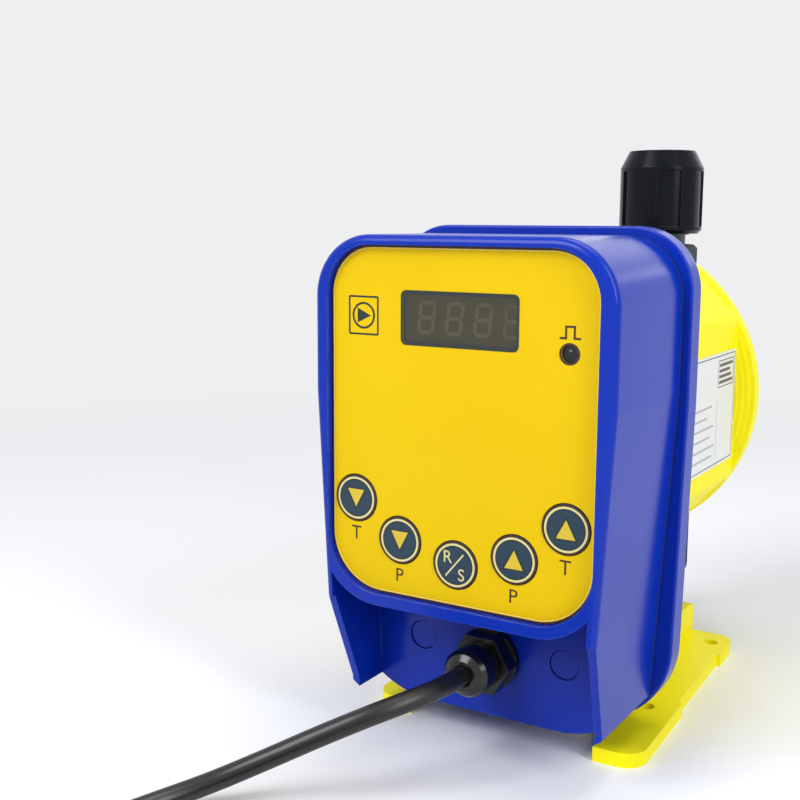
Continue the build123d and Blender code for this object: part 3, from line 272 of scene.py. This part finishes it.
# ============================================================ finishes
def finish(name, colour, shade, wear_and_highlight, roughness=(0.3, 0.4), bump=0.02, skin=(), edges=(),
           metallic=0.0, specular=0.5):
    """A moulded, turned or cast surface: its colour drifts to a shade of it, its
    roughness varies between two values and its edges turn to a lighter third
    colour, partly wear and partly a painted highlight."""
    material = bpy.data.materials.new(name)
    material.use_nodes = True
    tree = material.node_tree
    shader = tree.nodes["Principled BSDF"]
    shader.inputs["Metallic"].default_value = metallic
    shader.inputs["Specular IOR Level"].default_value = specular
    surface = add(tree, "ShaderNodeGroup", node_tree=MOULDED_SKIN)
    for socket, value in dict(skin).items():
        surface.inputs[socket].default_value = value
    edge = add(tree, "ShaderNodeGroup", node_tree=SOFT_EDGES)
    for socket, value in dict(edges).items():
        edge.inputs[socket].default_value = value
    drift = add(tree, "ShaderNodeMix", {
        "Factor": surface.outputs["Variation"], COLOUR_A: colour, COLOUR_B: shade},
        data_type="RGBA")
    # edges mixed towards the lighter third colour: partly wear, partly a painted highlight
    body = add(tree, "ShaderNodeMix", {
        "Factor": edge.outputs["Mask"], COLOUR_A: drift.outputs[COLOUR_OUT],
        COLOUR_B: wear_and_highlight}, data_type="RGBA")
    gloss = add(tree, "ShaderNodeMapRange", {
        "Value": surface.outputs["Variation"], "From Min": 0.3, "From Max": 0.7,
        "To Min": roughness[0], "To Max": roughness[1]})
    relief = add(tree, "ShaderNodeBump", {
        "Strength": 1.0, "Distance": bump * MM, "Height": surface.outputs["Height"],
        "Normal": edge.outputs["Normal"]})
    tree.links.new(body.outputs[COLOUR_OUT], shader.inputs["Base Color"])
    tree.links.new(gloss.outputs["Result"], shader.inputs["Roughness"])
    tree.links.new(relief.outputs["Normal"], shader.inputs["Normal"])
    return material


def blue_housing_plastic():
    # the third colour, a pale lavender, is partly edge wear and partly a painted highlight
    return finish("blue_housing_plastic", srgb(5, 48, 176), srgb(4, 43, 162),
                  srgb(96, 128, 220), roughness=(0.16, 0.24), bump=0.008, specular=0.22)


def yellow_body_plastic():
    return finish("yellow_body_plastic", srgb(254, 246, 0), srgb(250, 236, 0),
                  srgb(255, 252, 90), roughness=(0.42, 0.52), bump=0.02, specular=0.2)


def yellow_keypad_film():
    return finish("yellow_keypad_film", srgb(234, 200, 0), srgb(226, 186, 0),
                  srgb(246, 218, 60), roughness=(0.46, 0.55), bump=0.006, specular=0.15,
                  edges={"Radius": 0.0002, "Wear And Highlight": 0.2})


def black_union_plastic():
    return finish("black_union_plastic", srgb(6, 10, 20), srgb(4, 7, 15),
                  srgb(50, 60, 80), roughness=(0.17, 0.26), bump=0.015, specular=0.16)


def grey_valve_plastic():
    return finish("grey_valve_plastic", srgb(58, 62, 66), srgb(48, 52, 56),
                  srgb(105, 110, 116), roughness=(0.34, 0.45), bump=0.02)


def black_gland_plastic():
    return finish("black_gland_plastic", srgb(14, 14, 15), srgb(10, 10, 11),
                  srgb(60, 60, 62), roughness=(0.16, 0.24), bump=0.01)


def lead_sheath():
    return finish("lead_sheath", srgb(22, 23, 24), srgb(16, 17, 18), srgb(40, 42, 44),
                  roughness=(0.3, 0.4), bump=0.03,
                  skin={"Grain Scale": 900.0, "Grain Height": 0.6})


def bright_steel():
    return finish("bright_steel", srgb(196, 198, 200), srgb(170, 172, 176),
                  srgb(232, 233, 235), roughness=(0.2, 0.34), bump=0.008, metallic=1.0)


def turned_brass():
    return finish("turned_brass", srgb(214, 178, 96), srgb(190, 152, 78),
                  srgb(240, 216, 150), roughness=(0.2, 0.32), bump=0.006, metallic=1.0)


def copper_winding():
    return finish("copper_winding", srgb(176, 92, 48), srgb(150, 74, 38),
                  srgb(200, 120, 70), roughness=(0.3, 0.4), bump=0.05)


def green_board():
    return finish("green_board", srgb(26, 92, 52), srgb(20, 80, 44), srgb(90, 150, 90),
                  roughness=(0.3, 0.4), bump=0.01)


def black_component():
    return finish("black_component", srgb(26, 26, 28), srgb(20, 20, 22), srgb(66, 66, 70),
                  roughness=(0.4, 0.52), bump=0.02)


def seal_rubber():
    return finish("seal_rubber", srgb(30, 30, 31), srgb(24, 24, 25), srgb(52, 52, 54),
                  roughness=(0.6, 0.75), bump=0.03)


def white_fluoropolymer():
    return finish("white_fluoropolymer", srgb(228, 226, 220), srgb(218, 216, 210),
                  srgb(240, 240, 236), roughness=(0.35, 0.45), bump=0.01)


def white_label():
    return finish("white_label", srgb(232, 233, 232), srgb(224, 226, 226),
                  srgb(244, 244, 244), roughness=(0.32, 0.42), bump=0.004,
                  edges={"Radius": 0.0001, "Wear And Highlight": 0.1})


def key_ink():
    return finish("key_ink", srgb(22, 54, 74), srgb(18, 46, 66), srgb(60, 90, 110),
                  roughness=(0.4, 0.48), bump=0.004, edges={"Radius": 0.0002, "Wear And Highlight": 0.2})


def smoked_window():
    material = finish("smoked_window", srgb(88, 86, 66), srgb(80, 78, 60),
                      srgb(120, 120, 108), roughness=(0.1, 0.16), bump=0.002,
                      edges={"Radius": 0.0002, "Wear And Highlight": 0.1})
    material.node_tree.nodes["Principled BSDF"].inputs["Alpha"].default_value = 0.5
    return material


def dark_lens():
    return finish("dark_lens", srgb(16, 26, 24), srgb(12, 20, 18), srgb(50, 60, 58),
                  roughness=(0.16, 0.22), bump=0.004)


def ink(name, colour, shade):
    return finish(name, colour, shade, colour, roughness=(0.4, 0.5), bump=0.002,
                  edges={"Radius": 0.00005, "Wear And Highlight": 0.0})


def brown_ink():
    return ink("brown_ink", srgb(64, 30, 8), srgb(54, 24, 6))


def green_ink():
    return ink("green_ink", srgb(12, 40, 34), srgb(8, 32, 28))


def cream_ink():
    return ink("cream_ink", srgb(226, 216, 160), srgb(214, 202, 140))


def yellow_ink():
    return ink("yellow_ink", srgb(220, 192, 48), srgb(210, 180, 40))


def pale_ink():
    return ink("pale_ink", srgb(255, 226, 110), srgb(250, 214, 90))


def grey_ink():
    return ink("grey_ink", srgb(84, 86, 90), srgb(74, 76, 80))


def faint_ink():
    return ink("faint_ink", srgb(176, 178, 180), srgb(166, 168, 172))


def digit_ink():
    return ink("digit_ink", srgb(196, 188, 164), srgb(186, 178, 154))


def paint(node, material):
    data = NODES[node].data
    data.materials.clear()
    data.materials.append(material)


PAINTED = [
    (blue_housing_plastic, ["front_housing", "rear_cover", "screw_plugs"]),
    (yellow_body_plastic, ["mounting_base", "motor_housing", "head_adapter"]),
    (yellow_keypad_film, ["keypad_overlay"]),
    (black_union_plastic, ["discharge_union_nut", "suction_union_nut",
                           "discharge_clamp_ring", "suction_clamp_ring", "hose_nipples"]),
    (grey_valve_plastic, ["pump_head", "discharge_valve_body", "suction_valve_body",
                          "valve_seats"]),
    (black_gland_plastic, ["gland_body", "gland_nut", "gland_locknut"]),
    (lead_sheath, ["plug_body"]),
    (bright_steel, ["base_screws", "housing_screws", "cover_screws", "board_screws",
                    "head_bolts", "board_pillars", "magnet_frame", "pole_piece", "armature",
                    "push_rod", "return_spring", "backing_disc"]),
    (turned_brass, ["guide_bushes", "plug_pins"]),
    (copper_winding, ["coil_winding"]),
    (green_board, ["control_board", "power_board"]),
    (black_component, ["key_switches", "terminal_block", "filter_capacitor", "coil_bobbin",
                       "display_module"]),
    (seal_rubber, ["housing_gasket", "valve_seals", "gland_seal"]),
    (white_fluoropolymer, ["diaphragm", "discharge_ball", "suction_ball"]),
    (white_label, ["side_label"]),
    (key_ink, ["key_time_down", "key_pulse_down", "key_run_stop", "key_pulse_up",
               "key_time_up"]),
    (smoked_window, ["display_window"]),
    (dark_lens, ["pulse_lamp"]),
]
INKS = [brown_ink, green_ink, cream_ink, yellow_ink, pale_ink, grey_ink, faint_ink, digit_ink]
FINISHES = {make.__name__: make() for make in INKS}
for make, nodes in PAINTED:
    FINISHES[make.__name__] = make()
    for node in nodes:
        paint(node, FINISHES[make.__name__])
lead.data.materials.append(FINISHES["lead_sheath"])


# ============================================================ flat prints
INK = 0.05              # thickness of a print, in mm like all the outlines here
INK_SINK = 0.01         # how far its back lies in the face that carries it
FILM_FACE = -111.0
KEY_FACE = -111.3
LABEL_FACE = 52.2
KEYS = {
    "key_time_down": (-37.4, 86.7), "key_pulse_down": (-20.5, 74.75),
    "key_run_stop": (0.0, 69.7), "key_pulse_up": (20.5, 74.75), "key_time_up": (37.4, 86.7),
}
# outer and inner radius of each ring on a key
KEY_LINE = (7.7, 7.08)
KEY_RING = (7.05, 6.36)
KEY_EDGE = (6.33, 5.98)
HEAD_WIDE = 6.3         # the arrow head on a key
HEAD_HIGH = 5.9
HEAD_BORDER = (0.24, 0.02)      # how much wider its border is, outside and inside
KEY_LETTER = 3.9
# left, low, right, high, and the radius of the low and the high corners
FILM_BOX = (-47.0, 56.0, 47.0, 169.4, 19.0, 15.5)
WINDOW_BOX = (-20.2, 138.8, 20.2, 155.2, 1.5, 1.5)
SIGN_BOX = (-40.3, 140.7, -28.9, 153.3, 0.6, 0.6)
SIGN_MIDDLE = (-34.6, 147.0)
LAMP_MIDDLE = (37.0, 139.0)
PULSE_SIGN = [(33.7, 143.6), (35.7, 143.6), (35.7, 147.0), (38.4, 147.0), (38.4, 143.6),
              (40.4, 143.6)]
LABEL_BOX = (-43.0, 90.0, 7.0, 131.0, 1.5, 1.5)
RULED_BOX = (-14.0, 118.5, 4.5, 128.3, 0.4, 0.4)
RULED_BARS = [(-12.8, 3.2), (-12.8, 1.5), (-12.8, -0.2), (-12.8, 3.2)]      # left and right ends
TEXT_BARS = (22.0, 24.5, 19.0, 23.0, 15.0, 20.5)


def circle(radius, x=0.0, z=0.0, points=96):
    angles = [TURN * i / points for i in range(points)]
    return [(x + radius * math.cos(angle), z + radius * math.sin(angle)) for angle in angles]


def rounded_box(left, low, right, high, low_r, high_r, points=12):
    corners = [(left + low_r, low + low_r, low_r, 180), (right - low_r, low + low_r, low_r, 270),
               (right - high_r, high - high_r, high_r, 0), (left + high_r, high - high_r, high_r, 90)]
    outline = []
    for x, z, radius, start in corners:
        for i in range(points + 1):
            angle = math.radians(start + 90 * i / points)
            outline.append((x + radius * math.cos(angle), z + radius * math.sin(angle)))
    return outline


def inset_box(inset, left, low, right, high, low_r, high_r):
    return rounded_box(left + inset, low + inset, right - inset, high - inset,
                       max(low_r - inset, 0.1), max(high_r - inset, 0.1))


def stroke(points, width):
    """Outline of a line of even width through the points, with mitred corners."""
    line = [Vector(p) for p in points]
    left, right = [], []
    for i, here in enumerate(line):
        into = (here - line[i - 1]).normalized() if i else (line[1] - here).normalized()
        out = (line[i + 1] - here).normalized() if i + 1 < len(line) else into
        middle = (into + out).normalized()
        side = Vector((-middle.y, middle.x)) * width / 2 / middle.dot(into)
        left.append(tuple(here + side))
        right.append(tuple(here - side))
    return right + left[::-1]


def triangle(size, height, x=0.0, z=0.0, grow=0.0):
    """An arrow head, downwards where its height is below nought."""
    share = 1 + grow
    way = 1 if height > 0 else -1
    shift = -way * abs(height) / 6
    return [(x - size / 2 * share, z + shift - height / 3 * share),
            (x + size / 2 * share, z + shift - height / 3 * share),
            (x, z + shift + height * 2 / 3 * share)]


def mesh_of(data):
    """A flat curve or text as a mesh, still in its own plane."""
    holder = bpy.data.objects.new(data.name, data)
    bpy.context.scene.collection.objects.link(holder)
    bpy.context.view_layer.update()
    mesh = bpy.data.meshes.new_from_object(
        holder.evaluated_get(bpy.context.evaluated_depsgraph_get()))
    bpy.data.objects.remove(holder)
    return mesh


def inked(*outlines):
    """The print between closed outlines, each inside the one before."""
    data = bpy.data.curves.new("outline", "CURVE")
    data.dimensions = "2D"
    data.fill_mode = "BOTH"
    data.extrude = INK / 2
    for outline in outlines:
        spline = data.splines.new("POLY")
        spline.points.add(len(outline) - 1)
        for point, (x, z) in zip(spline.points, outline):
            point.co = (x, z, 0, 1)
        spline.use_cyclic_u = True
    return mesh_of(data)


def letter(text, x, z, height):
    """One capital of a height, centred on a point."""
    data = bpy.data.curves.new("letter", "FONT")
    data.body = text
    data.extrude = INK / 2
    data.resolution_u = 6
    mesh = mesh_of(data)
    across = [vertex.co.x for vertex in mesh.vertices]
    up = [vertex.co.y for vertex in mesh.vertices]
    scale = height / (max(up) - min(up))
    middle = ((max(across) + min(across)) / 2, (max(up) + min(up)) / 2)
    for vertex in mesh.vertices:
        vertex.co = ((vertex.co.x - middle[0]) * scale + x,
                     (vertex.co.y - middle[1]) * scale + z, vertex.co.z)
    return mesh


def onto_front(face):
    """From a print's own plane in mm to a face that looks to the front."""
    turn = Matrix.Rotation(math.pi / 2, 4, "X")
    lift = Vector((0, face - INK / 2 + INK_SINK, 0)) * MM
    return Matrix.Translation(lift) @ turn @ Matrix.Scale(MM, 4)


def onto_side(face):
    """From a print's own plane in mm to a face that looks to the right."""
    turn = Matrix(((0, 0, 1), (1, 0, 0), (0, 1, 0))).to_4x4()
    lift = Vector((face + INK / 2 - INK_SINK, 0, 0)) * MM
    return Matrix.Translation(lift) @ turn @ Matrix.Scale(MM, 4)


def lay_print(name, body, onto, layers):
    """One printed piece of several inks on a body's face."""
    mesh = bpy.data.meshes.new(name)
    whole = bmesh.new()
    for number, (ink_name, shapes) in enumerate(layers):
        mesh.materials.append(FINISHES[ink_name])
        first = len(whole.faces)
        for shape in shapes:
            whole.from_mesh(shape)
        whole.faces.ensure_lookup_table()
        for face in whole.faces[first:]:
            face.material_index = number
    bmesh.ops.remove_doubles(whole, verts=whole.verts[:], dist=INK / 20)
    bmesh.ops.recalc_face_normals(whole, faces=whole.faces[:])
    whole.transform(onto)
    whole.to_mesh(mesh)
    whole.free()
    piece = bpy.data.objects.new(name, mesh)
    bpy.context.scene.collection.objects.link(piece)
    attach(piece, body)


def key_circle(radii, x, z):
    return inked(*(circle(radius, x, z) for radius in radii))


def print_keys():
    """A ring, an edge and a mark on each key: arrow heads, or R and S with a slash."""
    for name, (x, z) in KEYS.items():
        lines = [key_circle(KEY_LINE, x, z)]
        edge = [key_circle(KEY_EDGE, x, z)]
        ring = [key_circle(KEY_RING, x, z)]
        if name == "key_run_stop":
            slash = stroke([(x - 3.3, z - 3.8), (x + 3.0, z + 3.8)], 0.5)
            ring += [letter("R", x - 2.5, z + 2.5, KEY_LETTER),
                     letter("S", x + 2.3, z - 2.9, KEY_LETTER), inked(slash)]
            layers = [("brown_ink", lines), ("green_ink", edge), ("cream_ink", ring)]
        else:
            height = -HEAD_HIGH if name.endswith("down") else HEAD_HIGH
            edge.append(inked(*(triangle(HEAD_WIDE, height, x, z, grow)
                                for grow in HEAD_BORDER)))
            head = [inked(triangle(HEAD_WIDE, height, x, z))]
            layers = [("brown_ink", lines), ("green_ink", edge), ("cream_ink", ring),
                      ("yellow_ink", head)]
        lay_print(name + "_print", name, onto_front(KEY_FACE), layers)


def print_film():
    """The film's edge lines, letters, pulse sign, pump sign and frames."""
    brown = [inked(inset_box(0.03, *FILM_BOX), inset_box(0.62, *FILM_BOX)),
             inked(circle(3.3, *LAMP_MIDDLE), circle(2.54, *LAMP_MIDDLE)),
             inked(stroke(PULSE_SIGN, 0.65))]
    for side in (-1, 1):
        brown.append(letter("T", side * KEYS["key_time_up"][0], 75.0, 4.5))
        brown.append(letter("P", side * KEYS["key_pulse_up"][0], 63.1, 4.3))
    pale = [inked(inset_box(0.66, *FILM_BOX), inset_box(1.05, *FILM_BOX))]
    pump = [inked(inset_box(-0.45, *WINDOW_BOX), inset_box(0.12, *WINDOW_BOX)),
            inked(inset_box(0.0, *SIGN_BOX), inset_box(0.6, *SIGN_BOX)),
            inked(circle(4.3, *SIGN_MIDDLE), circle(3.6, *SIGN_MIDDLE)),
            inked([(-36.9, 144.6), (-31.9, 147.0), (-36.9, 149.4)])]
    lay_print("keypad_print", "root", onto_front(FILM_FACE),
              [("brown_ink", brown), ("pale_ink", pale), ("green_ink", pump)])


def print_label():
    """A border, a ruled box and plain bars where the plate has its data."""
    lines = [inked(inset_box(0.9, *LABEL_BOX), inset_box(1.25, *LABEL_BOX)),
             inked(inset_box(0.0, *RULED_BOX), inset_box(0.35, *RULED_BOX))]
    for number, (left, right) in enumerate(RULED_BARS):
        low = 119.8 + 2.05 * number
        lines.append(inked(rounded_box(left, low, right, low + 1.1, 0.2, 0.2)))
    faint = []
    for number, length in enumerate(TEXT_BARS):
        low = 94.5 + 3.6 * number
        faint.append(inked(rounded_box(-40.5, low, -40.5 + length, low + 0.7, 0.2, 0.2)))
    faint.append(inked(stroke([(-14.0, 93.5), (-14.0, 114.0)], 0.3)))
    lay_print("side_label_print", "root", onto_side(LABEL_FACE),
              [("grey_ink", lines), ("faint_ink", faint)])


print_keys()
print_film()
print_label()


# ============================================================ repeated details
def build_row():
    """A piece repeated along a line: how many, and the step between two."""
    group = bpy.data.node_groups.new("row_of_pieces", "GeometryNodeTree")
    sockets = {}
    for label, kind in (("Geometry", "NodeSocketGeometry"), ("Count", "NodeSocketInt"),
                        ("Step", "NodeSocketVector"), ("Finish", "NodeSocketMaterial")):
        sockets[label] = group.interface.new_socket(label, in_out="INPUT", socket_type=kind)
    group.interface.new_socket("Geometry", in_out="OUTPUT", socket_type="NodeSocketGeometry")
    ins = group.nodes.new("NodeGroupInput")
    outs = group.nodes.new("NodeGroupOutput")
    line = add(group, "GeometryNodeMeshLine", {"Count": ins.outputs["Count"],
                                               "Offset": ins.outputs["Step"]})
    copies = add(group, "GeometryNodeInstanceOnPoints", {"Points": line.outputs["Mesh"],
                                                         "Instance": ins.outputs["Geometry"]})
    real = add(group, "GeometryNodeRealizeInstances", {"Geometry": copies.outputs["Instances"]})
    dressed = add(group, "GeometryNodeSetMaterial", {"Geometry": real.outputs["Geometry"],
                                                     "Material": ins.outputs["Finish"]})
    group.links.new(dressed.outputs["Geometry"], outs.inputs["Geometry"])
    return group, {label: socket.identifier for label, socket in sockets.items()}


ROW, ROW_SOCKETS = build_row()


def repeat(mesh, count, step, ink_name):
    """The mesh repeated in a row, as one plain mesh."""
    holder = bpy.data.objects.new("row", mesh)
    bpy.context.scene.collection.objects.link(holder)
    modifier = holder.modifiers.new("row", "NODES")
    modifier.node_group = ROW
    modifier[ROW_SOCKETS["Count"]] = count
    modifier[ROW_SOCKETS["Step"]] = step
    modifier[ROW_SOCKETS["Finish"]] = FINISHES[ink_name]
    bpy.context.view_layer.update()
    row = bpy.data.meshes.new_from_object(
        holder.evaluated_get(bpy.context.evaluated_depsgraph_get()))
    bpy.data.objects.remove(holder)
    return row


DIGITS = 4
DIGIT_PITCH = 10.0
FIRST_DIGIT = (-13.5, 147.0, 0.0)
DIGIT_WIDE = 5.0
DIGIT_HIGH = 10.6
BAR_THICK = 1.25
BAR_AIR = 0.12          # between a bar's tip and the next bar
DIGIT_LEAN = 0.1


def print_digits():
    """Four unlit digits of seven slanting bars on the display module's face."""
    gap = BAR_THICK / 2 + BAR_AIR

    def bar(x0, z0, x1, z1):
        along = Vector((x1 - x0, z1 - z0)).normalized() * BAR_THICK / 2
        side = Vector((-along.y, along.x))
        a, b = Vector((x0, z0)), Vector((x1, z1))
        corners = (a - along, a - side, b - side, b + along, b + side, a + side)
        return [(p.x + DIGIT_LEAN * p.y, p.y) for p in corners]

    half = DIGIT_WIDE / 2
    top = DIGIT_HIGH / 2 - BAR_THICK / 2
    bars = []
    for z in (-top, 0.0, top):
        bars.append(bar(-half + gap, z, half - gap, z))
    for x in (-half, half):
        bars.append(bar(x, -top + gap, x, -gap))
        bars.append(bar(x, gap, x, top - gap))
    whole = bmesh.new()
    for outline in bars:
        whole.from_mesh(inked(outline))
    digit = bpy.data.meshes.new("digit")
    whole.to_mesh(digit)
    whole.free()
    row = repeat(digit, DIGITS, (DIGIT_PITCH, 0, 0), "digit_ink")
    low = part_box("display_module")[0]
    row.transform(Matrix.Translation(FIRST_DIGIT))
    lay_print("display_digits", "root", onto_front(low[1] / MM),
              [("digit_ink", [row])])


print_digits()


def seat_spring():
    """A copy of the return spring where the solid has it; the pole piece holds one end and the
    armature pushes the other.
    """
    solid = NODES["return_spring"]
    spring = bpy.data.objects.new("seated_spring", solid.data.copy())
    bpy.context.scene.collection.objects.link(spring)
    bpy.context.view_layer.update()
    spring.data.transform(solid.matrix_world)
    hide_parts("return_spring")
    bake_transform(spring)


seat_spring()


# ============================================================ studio
FLOOR_SIZE = 60.0
FLOOR_FADE = (0.24, 0.85)       # radii between which the floor turns into the surround
PALE = srgb(243, 244, 247)
SURROUND = srgb(238, 239, 241)
SOFT_WHITE = (0.95, 0.97, 1.0, 1.0)
SOFT_LEVEL = 0.25               # of the world's own light on the pump
PUMP_MIDDLE = (0.0, -0.02, 0.1)
BOX_TOP = (0.03, -0.08, 0.17)


def shown_rays(tree):
    """1 for the rays that show a background, seen straight, mirrored or through glass."""
    path = add(tree, "ShaderNodeLightPath")
    mirrored = add(tree, "ShaderNodeMath", {0: path.outputs["Is Camera Ray"],
                                            1: path.outputs["Is Glossy Ray"]}, operation="MAXIMUM")
    return add(tree, "ShaderNodeMath", {0: mirrored.outputs[0],
                                        1: path.outputs["Is Transmission Ray"]},
               operation="MAXIMUM")


def pale_floor():
    """Pale and matt, and far away the colour of the surround."""
    material = bpy.data.materials.new("pale_floor")
    material.use_nodes = True
    tree = material.node_tree
    shader = tree.nodes["Principled BSDF"]
    shader.inputs["Roughness"].default_value = 0.6
    shader.inputs["Base Color"].default_value = PALE
    place = add(tree, "ShaderNodeTexCoord")
    radius = add(tree, "ShaderNodeVectorMath", {0: place.outputs["Object"]},
                 operation="LENGTH")
    far = add(tree, "ShaderNodeMapRange", {
        "Value": radius.outputs["Value"], "From Min": FLOOR_FADE[0], "From Max": FLOOR_FADE[1],
        "To Min": 0.0, "To Max": 1.0}, interpolation_type="SMOOTHSTEP")
    seen = add(tree, "ShaderNodeMath", {0: far.outputs["Result"],
                                        1: shown_rays(tree).outputs[0]}, operation="MULTIPLY")
    glow = add(tree, "ShaderNodeEmission", {"Color": SURROUND, "Strength": 1.0})
    surface = add(tree, "ShaderNodeMixShader", {0: seen.outputs[0]})
    tree.links.new(shader.outputs[0], surface.inputs[1])
    tree.links.new(glow.outputs[0], surface.inputs[2])
    tree.links.new(surface.outputs[0], tree.nodes["Material Output"].inputs["Surface"])
    return material


def put_floor():
    mesh = bpy.data.meshes.new("floor")
    half = FLOOR_SIZE / 2
    mesh.from_pydata([(-half, -half, 0), (half, -half, 0), (half, half, 0), (-half, half, 0)],
                     [], [(0, 1, 2, 3)])
    floor = bpy.data.objects.new("floor", mesh)
    bpy.context.scene.collection.objects.link(floor)
    mesh.materials.append(pale_floor())


def put_lamp(name, place, target, size, power):
    data = bpy.data.lights.new(name, "AREA")
    data.shape = "RECTANGLE"
    data.size, data.size_y = size
    data.energy = power
    lamp = bpy.data.objects.new(name, data)
    lamp.location = place
    aim = Vector(target) - Vector(place)
    lamp.rotation_euler = aim.to_track_quat("-Z", "Y").to_euler()
    lamp.visible_camera = False
    bpy.context.scene.collection.objects.link(lamp)


def put_light():
    world = bpy.data.worlds.new("studio")
    world.use_nodes = True
    tree = world.node_tree
    soft = tree.nodes["Background"]
    soft.inputs["Color"].default_value = SOFT_WHITE
    soft.inputs["Strength"].default_value = SOFT_LEVEL
    pale = add(tree, "ShaderNodeBackground", {"Color": SURROUND, "Strength": 1.0})
    seen = add(tree, "ShaderNodeMixShader", {0: shown_rays(tree).outputs[0]})
    tree.links.new(soft.outputs[0], seen.inputs[1])
    tree.links.new(pale.outputs[0], seen.inputs[2])
    tree.links.new(seen.outputs[0], tree.nodes["World Output"].inputs["Surface"])
    bpy.context.scene.world = world
    put_lamp("key_softbox", (-0.5, -1.15, 1.1), PUMP_MIDDLE, (0.9, 0.9), 17.5)
    put_lamp("side_strip", (1.2, -0.5, 0.8), PUMP_MIDDLE, (0.35, 1.1), 10.5)
    put_lamp("top_panel", (0.1, 0.1, 1.3), PUMP_MIDDLE, (0.9, 0.5), 6.0)
    put_lamp("rear_strip", (0.15, 1.3, 0.74), BOX_TOP, (1.6, 0.05), 0.5)
    put_lamp("rear_panel", (0.25, 1.3, 0.52), BOX_TOP, (1.6, 0.1), 0.6)
    bpy.context.scene.view_settings.view_transform = "Standard"


put_floor()
put_light()

bpy.context.view_layer.update()
